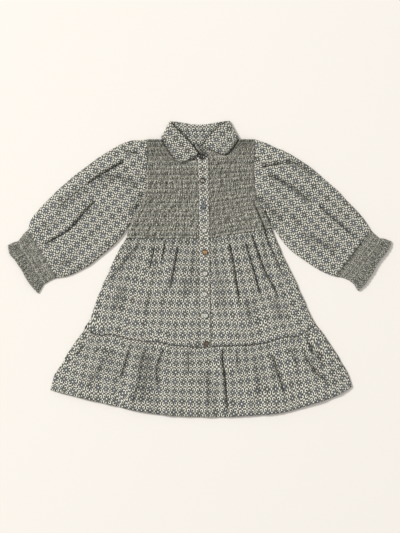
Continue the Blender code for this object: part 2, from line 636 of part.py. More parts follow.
def make_placket():
    """The strip that the buttons close, and the buttons."""
    y_top, y_low = PLACKET_TOP, seam_line()[1][19] + SEAM / 2
    ys = [-r[0] for r in PLACKET]
    half = SEAM / 2
    at = lambda t: y_top + (y_low - y_top) * np.asarray(t)
    left = lambda t: np.stack([np.interp(-at(t), ys, [r[1] for r in PLACKET]) + half, at(t)], -1)
    right = lambda t: np.stack([np.interp(-at(t), ys, [r[2] for r in PLACKET]) - half, at(t)], -1)
    a0, b0 = left(0.0), right(0.0)
    sx, sy = seam_line()
    top = lambda u: a0 + (b0 - a0) * u[..., None]
    bottom = lambda u: np.stack([np.interp(u, [0, 0.5, 1], sx[18:21]) + half * (1 - 2 * u),
                                 np.interp(u, [0, 0.5, 1], sy[18:21]) + half], -1)
    left_e = lambda t: left(t) + np.stack([np.zeros_like(t), (sy[18] - sy[19]) * t], -1)
    right_e = lambda t: right(t) + np.stack([np.zeros_like(t), (sy[20] - sy[19]) * t], -1)
    z_in = lambda xy: np.full(xy.shape[:-1], 3.2)
    z_out = lambda xy: np.full(xy.shape[:-1], 4.9)
    bm = slab("placket", (top, bottom, left_e, right_e), [0, 0.5, 1], np.linspace(0, 1, 33), z_in, z_out,
              (1, 12), (0.04, 0.04, 0.002, 0))
    finish("placket", bm)

    for number, ((x, y, z), slot) in enumerate(zip(BUTTONS, BUTTON_SLOTS), 1):
        bm = bmesh.new()
        loops = []
        for radius, height in BUTTON_SECTION:
            loops.append([new_vert(bm, (x + radius * math.cos(2 * math.pi * k / BUTTON_SIDES),
                                        y + radius * math.sin(2 * math.pi * k / BUTTON_SIDES),
                                        z + height)) for k in range(BUTTON_SIDES)])
        for low, high in zip(loops, loops[1:]):
            for k in range(BUTTON_SIDES):
                k2 = (k + 1) % BUTTON_SIDES
                bm.faces.new((low[k], low[k2], high[k2], high[k]))
        for loop, height in ((loops[0], 0.0), (loops[-1], BUTTON_SECTION[-1][1])):
            hub = new_vert(bm, (x, y, z + height))
            for k in range(BUTTON_SIDES):
                bm.faces.new((loop[k], loop[(k + 1) % BUTTON_SIDES], hub))
        finish(f"button_{number}", bm, BUTTON_COLOURS[slot], 0.3)


def make_sleeves():
    """Flattened tubes from armhole to cuff, and smocked cuffs that end in a frill."""
    for side, arm, up, low, cuff_up, cuff_low, cuff_end in (
            (-1, ARM_LEFT, SLEEVE_LEFT_UP, SLEEVE_LEFT_LOW, CUFF_LEFT_UP, CUFF_LEFT_LOW, CUFF_LEFT_END),
            (1, ARM_RIGHT, SLEEVE_RIGHT_UP, SLEEVE_RIGHT_LOW, CUFF_RIGHT_UP, CUFF_RIGHT_LOW,
             CUFF_RIGHT_END)):
        word = "left" if side < 0 else "right"
        armhole = armhole_edge(arm)
        shift = np.array([side * 0.8, 0])
        end = np.array([up[-1], low[-1]], float)
        along = np.array([end[0, 1] - end[1, 1], end[1, 0] - end[0, 0]])
        along = side * along * side / np.hypot(*along)
        if along[0] * side < 0:
            along = -along
        start = lambda t, armhole=armhole, shift=shift: armhole(t) + shift
        stop = lambda t, end=end, along=along: (end[0] + (end[1] - end[0]) * np.asarray(t)[..., None]
                                                - 0.15 * along)
        top, bottom = by_length(up), by_length(low)
        ramp = lambda f, shift=shift, along=along: (
            lambda t: f(t) + shift * (1 - t[..., None]) - 0.15 * along * t[..., None])
        edges = (ramp(top), ramp(bottom), start, stop)

        def lift(xy, near, u):
            return 1.6 * (1 - np.exp(-near / 16))

        def folded(xy, near, u, col, k):
            return np.clip(relief(xy, SLEEVE_FOLDS) * (1 - np.exp(-near / 12)), -0.7, 1.1)

        ring(f"sleeve_{word}", edges, np.linspace(0, 1, SLEEVE_STEPS + 1) ** 1.25, lift, folded,
             ROUND_SLEEVE, ROUND_INSIDE, 18.0)

        # The cuff's edges meet the sleeve's last station with the seam's gap
        c_top, c_low, c_end = by_length(cuff_up), by_length(cuff_low), by_length(cuff_end)
        fade = lambda f, along=along: (lambda t: f(t) + 0.15 * along * (1 - t[..., None]))
        start = lambda t, end=end, along=along: (end[0] + (end[1] - end[0]) * np.asarray(t)[..., None]
                                                 + 0.15 * along)
        edges = (fade(c_top), fade(c_low), start, c_end)
        band = np.linspace(0, 0.58, CUFF_BAND_STEPS + 1)
        frill = np.linspace(0.58, 1, CUFF_FRILL_STEPS + 1)[1:]

        def cuff_lift(xy, near, u):
            return (0.7 + 0.8 * u) * (1 - np.exp(-near / 10))

        def cuff_raise(xy, near, u, col, k):
            j = np.arange(len(xy))
            inset = np.clip(near / 6, 0, 1)
            if u < 0.575:
                brick = (j + k // 2) % 2
                bump = (0.62 + 0.38 * brick) if k % 2 else (0.16 + 0.14 * brick)
                return (SMOCK_RAISE * bump - 0.5) * inset
            flare = (u - 0.58) / 0.42
            return inset * ((0.5 + 0.8 * flare) * (j % 2) - 0.4)

        ring(f"cuff_{word}", edges, np.concatenate([band, frill]), cuff_lift, cuff_raise,
             ROUND_SLEEVE, ROUND_INSIDE)


def collar_section(row):
    """Sections of the fall, from its joint over the roll to its edge, and of the stand."""
    rx, ry, ex, ey, sx, sy, z_roll, z_edge, kind, nx, ny, nz = row
    roll, edge = np.array([rx, ry]), np.array([ex, ey])
    neck = np.array([nx, ny])
    out = (edge - roll) / np.hypot(*(edge - roll))
    if kind in (1, 2):
        low = 4.2 if kind == 1 else 4.3
        under = [(*(roll + out * 3.0), low), (*(roll + out * 1.9), low), (*(roll + out * 0.8), low)]
        first = (*(roll + out * 0.8), z_roll)
        top = roll + out * (3.0 + LAY + (0.1 if kind == 1 else 1.0))
    else:
        joint = np.array([sx, sy])
        back = (joint - roll) / np.hypot(*(joint - roll))
        low = {0: 2.05, 4: 1.95, 3: 3.1}[kind]
        part = np.array([0.85 * np.sign(rx), 0.0]) if kind == 3 else 0.0
        under = [(*joint, low), (*(0.5 * (joint + roll) - part), low), (*(roll + back - part), low)]
        first = (*(roll + out + part), z_roll)
        top = joint + back * (LAY + (0.1 if kind == 0 else 1.0))
    fall = under + [(*roll, 0.5 * (low + z_roll)), first]
    for t in (0.34, 0.67, 1.0):
        fall.append((*(roll + (edge - roll) * t), z_roll + (z_edge - z_roll) * t))
    rise = [(0.0, nz), (0.3, nz + 0.85 * (low - nz)), (0.65, low), (1.0, low)]
    return fall, [(*(neck + (top - neck) * k), z) for k, z in rise]


def make_collar():
    """The turned-down fall and the stand under it."""
    sections = [collar_section(row) for row in COLLAR_LEFT + COLLAR_RIGHT]
    shell("collar_fall", [fall for fall, _ in sections], COLLAR_WALL)
    shell("collar_stand", [stand for _, stand in sections], COLLAR_WALL)


for old in list(bpy.data.objects):
    bpy.data.objects.remove(old, do_unlink=True)
PARTS = bpy.data.collections.new(OBJECT)
bpy.context.scene.collection.children.link(PARTS)
make_bodice()
make_skirt()
make_placket()
make_sleeves()
make_collar()
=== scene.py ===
import math

import bmesh
import bpy
import numpy as np
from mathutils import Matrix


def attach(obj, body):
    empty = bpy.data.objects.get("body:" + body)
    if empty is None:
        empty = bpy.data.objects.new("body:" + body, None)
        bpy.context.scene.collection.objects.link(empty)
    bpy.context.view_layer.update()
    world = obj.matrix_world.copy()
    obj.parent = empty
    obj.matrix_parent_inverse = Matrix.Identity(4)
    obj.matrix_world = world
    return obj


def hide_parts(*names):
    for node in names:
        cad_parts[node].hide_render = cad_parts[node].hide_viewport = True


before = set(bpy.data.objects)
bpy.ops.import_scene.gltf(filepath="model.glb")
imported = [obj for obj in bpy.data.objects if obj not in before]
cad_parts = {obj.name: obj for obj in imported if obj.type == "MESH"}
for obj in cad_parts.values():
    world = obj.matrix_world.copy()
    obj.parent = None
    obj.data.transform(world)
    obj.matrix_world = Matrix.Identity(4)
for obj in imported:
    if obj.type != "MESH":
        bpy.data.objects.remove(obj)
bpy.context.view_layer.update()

MM = 0.001
CENTRE = np.array([-0.5, 0.967, 0.0])

# The photograph looks straight down on the middle of the dress
CAMERA_HEIGHT = 2.2
CAMERA_X = 0.0005
CAMERA_Y = 0.004967
VIEW_SIDE = 1.066

# One cell of the print on flat cloth
CELL_W = 18.4
CELL_H = 20.6

CLOTH = 0.55
BACK_WALL = 1.3
LAY = 0.3
SMOCK_ROWS = 21

ARM_LEFT = [(-105, 258), (-104.8, 225), (-105.2, 190), (-107.2, 162), (-112.5, 140), (-121.5, 122),
            (-130, 107), (-137, 91), (-147, 60)]
ARM_RIGHT = [(111, 258), (110.3, 225), (110, 190), (111.2, 162), (116, 140), (125, 122),
             (133.8, 107), (141, 91), (144.5, 81)]
NECK_LEFT = [(-68, 258.2), (-62, 249), (-53, 239), (-39, 227), (-23, 219), (-5, 215)]
NECK_RIGHT = [(70, 258.2), (63, 250), (53, 243), (39, 240), (27, 239), (18.2, 238.2)]
NECK_BACK = [(-68, 257.6), (-65, 254.6), (-53, 249.8), (-29, 246), (0, 244.6), (29, 246),
             (54, 249.8), (67, 254.6), (70, 257.6)]

# Placket edges: y, left x, right x
PLACKET = [(240, -5, 18.2), (215, -4, 18), (167, -1.8, 18.4), (65, -1, 20.6), (-40, 0, 21),
           (-157, 3, 23)]
PLACKET_TOP = 222

SIDE_LEFT = [(-147, 60), (-151, 53), (-159, 41), (-165, 29), (-171, 17), (-177, 5), (-181, -7),
             (-187, -19), (-193, -31), (-197, -43), (-203, -55), (-207, -67), (-211, -79),
             (-215, -91), (-219, -103), (-228, -115)]
SIDE_RIGHT = [(144.5, 81), (149, 68), (155, 53), (161, 41), (165, 29), (171, 17), (177, 5), (183, -7),
              (189, -19), (195, -31), (199, -43), (205, -55), (211, -67), (215, -79), (221, -91),
              (227, -103), (234, -114)]
TIER_SEAM = [(-228, -115), (-213, -128), (-195, -133), (-179, -132), (-160, -135.6),
             (-139.6, -141.8), (-101.8, -146.4), (-85, -145.8), (-53.8, -153), (-5, -157),
             (33, -155.4), (70.4, -154), (99, -153), (131, -149), (152, -142.4), (175, -137.6),
             (195, -136.5), (209, -130), (219, -122), (234, -114)]
TIER_LEFT = [(-228, -115), (-233, -127), (-243, -139), (-251, -151), (-259, -163), (-267, -175),
             (-273, -187), (-281, -199), (-289, -211), (-293, -223), (-298, -243)]
TIER_RIGHT = [(234, -114), (245, -127), (253, -139), (261, -151), (269, -163), (277, -175),
              (283, -187), (291, -199), (297, -211), (301, -223), (305, -235)]
HEM = [(-298, -243), (-267, -251), (-219, -263), (-171, -274), (-139, -282), (-91, -290),
       (-59, -294), (-27, -296), (21, -297), (69, -296), (101, -294), (133, -292), (165, -288),
       (197, -280), (229, -270), (261, -260), (293, -244), (305, -235)]

SLEEVE_LEFT_UP = [(-105, 258), (-113, 257), (-139, 255), (-155, 249), (-171, 241), (-187, 231),
                  (-203, 221), (-219, 209), (-235, 197), (-251, 185), (-267, 171), (-283, 157),
                  (-299, 141), (-315, 125), (-325, 113), (-335, 101), (-340, 88), (-344, 76)]
SLEEVE_LEFT_LOW = [(-137, 91), (-145, 79), (-157, 62), (-171, 47), (-187, 33), (-203, 20),
                   (-219, 7), (-235, -2), (-251, -10), (-267, -16), (-284, -18.5)]
SLEEVE_RIGHT_UP = [(111, 258), (133, 251), (149, 243), (165, 237), (181, 229), (197, 219),
                   (213, 209), (229, 197), (245, 183), (261, 169), (277, 155), (293, 137),
                   (309, 121), (325, 103), (335, 89), (342, 77)]
SLEEVE_RIGHT_LOW = [(141, 91), (149.5, 78.5), (165, 56), (181, 38), (197, 25), (213, 14),
                    (229, 3), (245, -6), (261, -13), (271, -16)]
CUFF_LEFT_UP = [(-344, 76), (-351, 70), (-357, 62), (-363, 55), (-372, 52), (-383, 47)]
CUFF_LEFT_LOW = [(-284, -18.5), (-292, -21), (-302, -26), (-312, -33), (-317, -41), (-322, -50)]
CUFF_LEFT_END = [(-383, 47), (-379, 29), (-369, 17), (-361, 5), (-353, -7), (-347, -19),
                 (-339, -31), (-329, -43), (-322, -50)]
CUFF_RIGHT_UP = [(342, 77), (348, 71), (355, 65), (360, 61), (370, 59.5), (384, 54)]
CUFF_RIGHT_LOW = [(271, -16), (284, -18), (297, -23), (308, -31), (313, -39), (317, -45)]
CUFF_RIGHT_END = [(384, 54), (379, 41), (371, 29), (361, 17), (353, 5), (347, -7),
                  (339, -19), (331, -31), (317, -45)]

# Creases: line, half width, depth
SKIRT_CREASES = [
    ([(-90, 43), (-95, 17), (-100, -5)], 2.4, 2.2),
    ([(-68, 57), (-71, 35), (-75, 15)], 2.4, 2.2),
    ([(-43, 43), (-48, 13), (-54, -19), (-59, -47)], 2.8, 2.8),
    ([(-50, 55), (-55, 37), (-59, 23)], 1.8, 1.0),
    ([(-117, 51), (-143, 19), (-169, -13), (-189, -37)], 6.0, 1.5),
    ([(-27, -19), (-28, -43), (-29, -65)], 3.2, 1.0),
    ([(-95, -51), (-103, -77), (-109, -101)], 4.0, 0.7),
    ([(61, 49), (68, 15), (72, -8), (74, -26), (82, -71)], 2.8, 2.8),
    ([(93, 51), (102, 19), (111, -11), (118, -37), (127, -61)], 2.8, 2.6),
    ([(105, 67), (113, 45), (124, 15), (134, -11), (147, -33), (163, -67)], 3.0, 2.8),
    ([(107, 134), (116, 115), (123, 99), (131, 77), (139, 51), (152, 23), (163, -3), (175, -28)], 2.6, 2.4),
    ([(127, 55), (134, 31)], 2.0, 0.9),
    ([(35, 65), (34, 33)], 1.8, 1.0),
    ([(49, 61), (53, 45)], 1.6, 0.8),
    ([(75, 61), (77, 49)], 1.6, 0.9),
    ([(-135, 57), (-150, 40), (-160, 25)], 4.5, 1.2),
    ([(30, 40), (38, -20), (44, -90)], 6.0, 0.8),
    ([(-10, 40), (-13, -20), (-14, -60)], 5.0, 0.8),
    ([(150, -60), (166, -105)], 6.0, 1.0),
    ([(96, -60), (106, -110)], 6.0, 0.9),
    ([(-150, -40), (-170, -90)], 6.5, 0.9),
]
TIER_CREASES = [
    ([(-227, -152), (-248, -176)], 3.0, 1.6),
    ([(-195, -156), (-211, -172)], 2.4, 1.2),
    ([(-140, -163), (-148, -191), (-158, -225)], 3.2, 1.6),
    ([(-107, -163), (-115, -189), (-119, -225), (-129, -263), (-125, -281)], 5.0, 1.5),
    ([(-70, -161), (-80, -185), (-85, -205), (-80, -245)], 3.4, 1.4),
    ([(-22, -163), (-21, -195), (-22, -219)], 2.6, 1.3),
    ([(-3, -215), (1, -233)], 3, 0.7),
    ([(47, -163), (46, -183), (51, -216), (55, -265), (58, -295)], 2.8, 2.9),
    ([(75, -165), (77, -205)], 3.0, 1.2),
    ([(147, -175), (156, -205), (168, -241), (174, -259)], 3.2, 1.7),
    ([(182, -157), (193, -183), (199, -201)], 2.8, 1.3),
    ([(215, -143), (230, -174)], 2.8, 2.0),
    ([(-98, -168), (-104, -215), (-112, -272)], 7.0, 1.2),
    ([(18, -205), (20, -285)], 6.0, 1.0),
    ([(112, -170), (118, -215), (126, -262)], 6.5, 0.9),
    ([(-172, -160), (-196, -200), (-222, -240)], 7.0, 0.9),
    ([(232, -165), (252, -200)], 5.0, 1.0),
    ([(211, -172), (231, -205), (250, -221), (264, -237)], 3.4, 1.7),
]
SLEEVE_CREASES = [
    ([(-150, 234), (-135, 231), (-117, 228)], 2.6, 1.9),
    ([(-151, 213), (-182, 196), (-204, 182), (-219, 171), (-230, 162)], 3.4, 2.9),
    ([(-230, 162), (-249, 147), (-269, 129), (-284, 113)], 4, 1.0),
    ([(-204, 180), (-185, 184), (-150, 178), (-119, 163)], 4.5, 1.3),
    ([(-208, 134), (-230, 112), (-249, 88), (-260, 77)], 3.2, 2.4),
    ([(-254, 82), (-266, 73), (-284, 62), (-314, 46)], 2.4, 2.6),
    ([(-251, 17), (-280, 6)], 4, 1),
    ([(-111, 127), (-143, 115)], 4, 1),
    ([(128, 202), (134, 204), (153, 208), (175, 212)], 2.8, 2.0),
    ([(138, 186), (155, 179), (175, 169), (194, 156), (209, 143), (220, 135), (235, 132)], 3.8, 3.0),
    ([(240, 125), (257, 108), (275, 93), (288, 82), (301, 70), (311, 60)], 2.8, 3.2),
    ([(172, 213), (192, 209), (211, 199), (231, 180)], 4.5, 1.7),
    ([(205, 69), (253, 47), (281, 32)], 4.5, 1.1),
    ([(192, 108), (196, 75)], 4.5, 0.8),
    ([(131, 116), (136, 103), (142, 90)], 2.2, 2.6),
    ([(-112, 150), (-122, 126), (-138, 100)], 7, 0.9),
    ([(118, 146), (150, 112), (176, 92)], 8, 0.9),
]

# The collar's columns are those of the part: roll x, y, edge x, y, joint x, y, height of the
# roll, of the edge, how it lies, and the stand's neckline x, y, z
COLLAR_LEFT = [
    (-3.2, 228, -34, 210.6, 0, 0, 6.0, 5.9, 1, -8, 218.8, 3.6),
    (-9, 237.5, -42.4, 212.6, 0, 0, 5.9, 5.8, 1, -14, 219.4, 3.4),
    (-19, 249.8, -52.4, 222.4, 0, 0, 5.8, 5.7, 1, -28, 223.4, 3.3),
    (-31, 262.4, -60.4, 233.8, 0, 0, 5.8, 5.7, 1, -42, 232, 3.2),
    (-43, 274.6, -67, 244.6, 0, 0, 5.8, 5.7, 1, -53, 242, 3.2),
    (-51.8, 283.8, -72.4, 253.8, 0, 0, 5.8, 5.6, 1, -61, 252, 3.1),
    (-56.6, 291, -75.8, 260, 0, 0, 5.8, 5.4, 2, -64.4, 257.6, 3.4),
    (-58.4, 293.8, -76.8, 262, -60.2, 287.6, 3.1, 3.1, 3, -65.8, 259.2, 2.3),
    (-56.6, 293.0, -74.6, 263.8, -57.6, 285.4, 0.55, 0.55, 4, -64.4, 258.6, 1.1),
    (-50, 293.2, -66, 267.8, -48, 274.2, 0.55, 0.55, 0, -58, 254.6, 0.9),
    (-35, 291.2, -51, 269.8, -33, 273.6, 0.55, 0.55, 0, -42, 250.2, 0.8),
    (-18, 288.2, -26, 268.2, -17, 273.2, 0.55, 0.55, 0, -22, 247.4, 0.8),
    (0, 287, 0, 267, 0, 273, 0.55, 0.55, 0, 0, 246.6, 0.8),
]
COLLAR_RIGHT = [
    (18, 288.4, 26, 268.4, 17, 273.2, 0.55, 0.55, 0, 22, 247.4, 0.8),
    (36, 291.6, 51, 269.8, 33, 273.6, 0.55, 0.55, 0, 42, 250.2, 0.8),
    (51, 293.8, 67, 267.6, 48, 274.2, 0.55, 0.55, 0, 59.6, 254.6, 0.9),
    (57.2, 294.0, 75.8, 263.4, 58.2, 286.5, 0.55, 0.55, 4, 65.8, 258.6, 1.1),
    (59, 294.6, 78, 261, 59.6, 288.4, 3.1, 3.1, 3, 67.4, 259.2, 2.3),
    (57, 292.4, 77.2, 258.6, 0, 0, 5.8, 5.4, 2, 66, 257.8, 3.4),
    (50, 288.4, 76, 256.6, 0, 0, 5.8, 5.6, 1, 61, 251.2, 3.1),
    (39, 281, 72, 250.4, 0, 0, 5.8, 5.7, 1, 51, 245.2, 3.2),
    (27, 270, 66, 241, 0, 0, 5.8, 5.7, 1, 40, 242, 3.2),
    (16, 257, 59, 232.4, 0, 0, 5.8, 5.7, 1, 30, 240.8, 3.3),
    (7, 244, 50, 226.6, 0, 0, 5.9, 5.8, 1, 20, 240, 3.4),
]

# Buttons: x, y, height of the underside, slot
BUTTONS = [
    (4.6, 223.6, 6.45, "button_dark"),
    (5.6, 175.0, 6.45, "button_dark"),
    (7.4, 125.0, 6.45, "button_slate"),
    (9.6, 76.0, 6.45, "button_pale"),
    (11.0, 32.4, 6.45, "button_gold"),
    (11.0, -10.0, 6.45, "button_pale"),
    (10.0, -51.0, 6.45, "button_pale"),
    (12.0, -94.0, 6.45, "button_pale"),
    (14.0, -150.0, 6.45, "button_gold"),
]


def smooth(points, steps=16):
    """Dense smooth curve through the rows of a table."""
    pts = np.array(points, float)
    ext = np.vstack([2 * pts[0] - pts[1], pts, 2 * pts[-1] - pts[-2]])
    out = []
    for i in range(1, len(ext) - 2):
        p0, p1, p2, p3 = ext[i - 1], ext[i], ext[i + 1], ext[i + 2]
        for k in range(steps):
            t = k / steps
            out.append(0.5 * (2 * p1 + (p2 - p0) * t + (2 * p0 - 5 * p1 + 4 * p2 - p3) * t * t
                              + (3 * p1 - p0 - 3 * p2 + p3) * t ** 3))
    out.append(ext[-2])
    return np.array(out)


def by_length(points, dense=None):
    """Edge as a function of 0 to 1 along its length."""
    dense = smooth(points) if dense is None else dense
    run = np.concatenate([[0], np.cumsum(np.hypot(*np.diff(dense, axis=0).T))])
    run = run / run[-1]
    return lambda t: np.stack([np.interp(t, run, dense[:, 0]), np.interp(t, run, dense[:, 1])], -1)


def by_height(points):
    """Edge as a function of 0 to 1 down its height."""
    dense = smooth(points)
    drop = (dense[0, 1] - dense[:, 1]) / (dense[0, 1] - dense[-1, 1])
    drop = np.maximum.accumulate(drop)
    return lambda t: np.stack([np.interp(t, drop, dense[:, 0]), np.interp(t, drop, dense[:, 1])], -1)


def armhole_edge(points):
    """The part of a bodice's side edge that the sleeve is set in, by its length."""
    dense = smooth(points)
    return by_length(None, dense[dense[:, 1] >= 91])


def patch(top, bottom, left, right, us, vs):
    """Points of a panel between four edges, u across and v down."""
    us = np.asarray(us, float)
    vs = np.asarray(vs, float)
    u = us[None, :, None]
    v = vs[:, None, None]
    t, b = top(us)[None], bottom(us)[None]
    le, ri = left(vs)[:, None], right(vs)[:, None]
    c00, c10 = top(np.array([0.0]))[0], top(np.array([1.0]))[0]
    c01, c11 = bottom(np.array([0.0]))[0], bottom(np.array([1.0]))[0]
    corners = (1 - u) * (1 - v) * c00 + u * (1 - v) * c10 + (1 - u) * v * c01 + u * v * c11
    return (1 - v) * t + v * b + (1 - u) * le + u * ri - corners


def waves(x, y, size, seed):
    """Soft uneven waviness between -1 and 1, the same on each run."""
    table = np.random.default_rng(seed).uniform(-1, 1, (97, 97))
    gx, gy = np.asarray(x) / size + 40.0, np.asarray(y) / size + 40.0
    ix, iy = np.floor(gx).astype(int), np.floor(gy).astype(int)
    fx, fy = gx - ix, gy - iy
    fx, fy = fx * fx * fx * (fx * (fx * 6 - 15) + 10), fy * fy * fy * (fy * (fy * 6 - 15) + 10)
    at = lambda a, b: table[(ix + a) % 97, (iy + b) % 97]
    return ((1 - fx) * (1 - fy) * at(0, 0) + fx * (1 - fy) * at(1, 0)
            + (1 - fx) * fy * at(0, 1) + fx * fy * at(1, 1))


def side_of(xy, points):
    """Signed distance from a line, and the place along it from 0 to 1."""
    pts = np.array(points, float)
    lengths = np.hypot(*np.diff(pts, axis=0).T)
    run = np.concatenate([[0], np.cumsum(lengths)])
    best = np.full(xy.shape[:-1], 1e9)
    sign = np.ones(xy.shape[:-1])
    place = np.zeros(xy.shape[:-1])
    for a, b, s in zip(pts, pts[1:], range(len(lengths))):
        d = b - a
        k = ((xy - a) @ d) / (d @ d)
        kc = np.clip(k, 0, 1)
        off = xy - (a + kc[..., None] * d)
        far = np.hypot(off[..., 0], off[..., 1])
        closer = far < best
        best = np.where(closer, far, best)
        sign = np.where(closer, np.sign(d[0] * off[..., 1] - d[1] * off[..., 0]), sign)
        along = run[s] + np.where((s == 0) & (k < 0), k, np.where((s == len(lengths) - 1) & (k > 1), k, kc)) * lengths[s]
        place = np.where(closer, along / run[-1], place)
    return best * sign, place


def creased(xy, table):
    """Troughs between soft ridges, deepest near their start and fading at the far end.

    The second result is painted shade: 1 at the bottom of a fold whose shut sides are too narrow for the mesh, where
    the cloth's colour is darkened, with a softer painted band beside the creases.
    """
    h = np.zeros(xy.shape[:-1])
    deep = np.zeros(xy.shape[:-1])
    for number, (points, w, depth) in enumerate(table):
        dense = smooth(points, 6)
        low = dense.min(0) - 9 * w
        high = dense.max(0) + 9 * w
        inside = ((xy > low) & (xy < high)).all(-1)
        if not inside.any():
            continue
        d, place = side_of(xy[inside], dense)
        reach = np.hypot(*np.diff(dense, axis=0).T).sum()
        fade = np.clip(np.minimum(place / 0.06 + 0.35, (1 - place) / 0.22 + 0.05), 0, 1)
        fade = np.where((place < -0.02) | (place > 1.02), 0, fade)
        fade = fade * fade * (3 - 2 * fade)
        lean = 0.2 * math.sin(number * 2.4)
        narrow = 0.62 * w * (1 + 0.5 * (1 - fade))
        trough = np.exp(-(d / narrow) ** 2)
        ridge = (np.exp(-((d - 2.6 * w) / (2.0 * w)) ** 2) * (0.5 + lean)
                 + np.exp(-((d + 2.6 * w) / (2.0 * w)) ** 2) * (0.5 - lean))
        h[inside] += depth * fade * (0.9 * ridge - 1.7 * trough)
        # Painted shade: a dark core along the trough and a soft band beside it
        core = np.exp(-(np.abs(d) / (0.24 * w + 0.35)) ** 2) * np.clip(fade * (depth - 0.5) / 1.3, 0, 1)
        soft = 0.34 * np.exp(-(d / (1.4 * w + 1.0)) ** 2) * fade * min(depth / 1.2, 1) * (1.5 if w > 3.1 else 1)
        deep[inside] = np.maximum(deep[inside], np.maximum(core, soft))
    return h, deep


def new_sheet(name, points, maps, closed=False, flip=False, thick=CLOTH, offset=-1.0):
    """A piece of cloth from a grid of points in millimetres, with its maps of the cloth."""
    n, m = points.shape[0] - 1, points.shape[1] - (0 if closed else 1)
    cols = points.shape[1]
    verts = ((points + CENTRE) * MM).reshape(-1, 3)
    i, j = np.meshgrid(np.arange(n), np.arange(m), indexing="ij")
    j2 = (j + 1) % cols
    quads = np.stack([i * cols + j, (i + 1) * cols + j, (i + 1) * cols + j2, i * cols + j2], -1)
    if flip:
        quads = quads[..., ::-1]
    mesh = bpy.data.meshes.new(name)
    mesh.from_pydata(verts, [], quads.reshape(-1, 4).tolist())
    for label, uv in maps.items():
        layer = mesh.uv_layers.new(name=label)
        corner = np.stack([uv[i, j], uv[i + 1, j], uv[i + 1, j + 1], uv[i, j + 1]], -2)
        if flip:
            corner = corner[..., ::-1, :]
        layer.uv.foreach_set("vector", corner.astype(np.float32).ravel())
    mesh.polygons.foreach_set("use_smooth", np.ones(len(mesh.polygons), bool))
    obj = bpy.data.objects.new(name, mesh)
    bpy.context.scene.collection.objects.link(obj)
    if thick:
        mod = obj.modifiers.new("wall", "SOLIDIFY")
        mod.thickness = thick * MM
        mod.offset = offset
        mod.use_even_offset = False
        mod.use_rim = True
    return obj


def placed(obj, mat, nodes):
    """Material, body and CAD nodes of a piece."""
    obj.data.materials.append(mat)
    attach(obj, "root")
    if nodes:
        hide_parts(*nodes)


class Web:
    """A material's nodes, put together from short calls."""

    def __init__(self, name):
        self.mat = bpy.data.materials.new(name)
        self.mat.use_nodes = True
        self.tree = self.mat.node_tree
        self.shader = self.tree.nodes["Principled BSDF"]

    def link(self, value, socket):
        if isinstance(value, bpy.types.NodeSocket):
            self.tree.links.new(value, socket)
        else:
            socket.default_value = value

    def math(self, op, *values, clamp=False):
        node = self.tree.nodes.new("ShaderNodeMath")
        node.operation = op
        node.use_clamp = clamp
        for socket, value in zip(node.inputs, values):
            self.link(value, socket)
        return node.outputs[0]

    def add(self, a, b):
        return self.math("ADD", a, b)

    def sub(self, a, b):
        return self.math("SUBTRACT", a, b)

    def mul(self, a, b):
        return self.math("MULTIPLY", a, b)

    def length(self, a, b):
        return self.math("SQRT", self.math("MULTIPLY_ADD", a, a, self.mul(b, b)))

    def below(self, d, limit, soft):
        """1 where d is under the limit, 0 over it, with a soft step."""
        return self.math("MULTIPLY_ADD", self.sub(limit, d), 1 / soft, 0.5, clamp=True)

    def both(self, a, b):
        return self.mul(a, b)

    def mix(self, factor, a, b, mode="MIX"):
        node = self.tree.nodes.new("ShaderNodeMix")
        node.data_type = "RGBA"
        node.blend_type = mode
        self.link(factor, node.inputs[0])
        for place, value in ((6, a), (7, b)):
            self.link((*value, 1.0) if isinstance(value, tuple) and len(value) == 3 else value,
                      node.inputs[place])
        return node.outputs[2]

    def uv(self, label):
        node = self.tree.nodes.new("ShaderNodeUVMap")
        node.uv_map = label
        return node.outputs[0]

    def split(self, vector):
        node = self.tree.nodes.new("ShaderNodeSeparateXYZ")
        self.link(vector, node.inputs[0])
        return node.outputs[0], node.outputs[1]

    def join(self, x, y, z=0.0):
        node = self.tree.nodes.new("ShaderNodeCombineXYZ")
        for socket, value in zip(node.inputs, (x, y, z)):
            self.link(value, socket)
        return node.outputs[0]

    def noise(self, vector, scale, detail=2.0, rough=0.5, colour=False):
        node = self.tree.nodes.new("ShaderNodeTexNoise")
        self.link(vector, node.inputs["Vector"])
        node.inputs["Scale"].default_value = scale
        node.inputs["Detail"].default_value = detail
        node.inputs["Roughness"].default_value = rough
        return node.outputs["Color" if colour else "Fac"]

    def white(self, vector):
        node = self.tree.nodes.new("ShaderNodeTexWhiteNoise")
        node.noise_dimensions = "2D"
        self.link(vector, node.inputs["Vector"])
        return node.outputs["Value"]

    def ramp(self, value, stops, mode="LINEAR"):
        node = self.tree.nodes.new("ShaderNodeValToRGB")
        node.color_ramp.interpolation = mode
        while len(node.color_ramp.elements) < len(stops):
            node.color_ramp.elements.new(0.5)
        for element, (place, colour) in zip(node.color_ramp.elements, stops):
            element.position = place
            element.color = (*colour, 1.0)
        self.link(value, node.inputs[0])
        return node.outputs[0]

    def bump(self, height, strength, distance, normal=None):
        node = self.tree.nodes.new("ShaderNodeBump")
        node.inputs["Strength"].default_value = strength
        node.inputs["Distance"].default_value = distance
        self.link(height, node.inputs["Height"])
        if normal is not None:
            self.link(normal, node.inputs["Normal"])
        return node.outputs[0]


CREAM = (0.90, 0.885, 0.76)
PINK = (0.84, 0.72, 0.60)
DARK = (0.022, 0.021, 0.016)
RING_STOPS = [(0.0, (0.088, 0.096, 0.112)), (0.38, (0.072, 0.083, 0.080)), (0.62, (0.068, 0.066, 0.056)),
              (0.8, (0.115, 0.12, 0.13))]


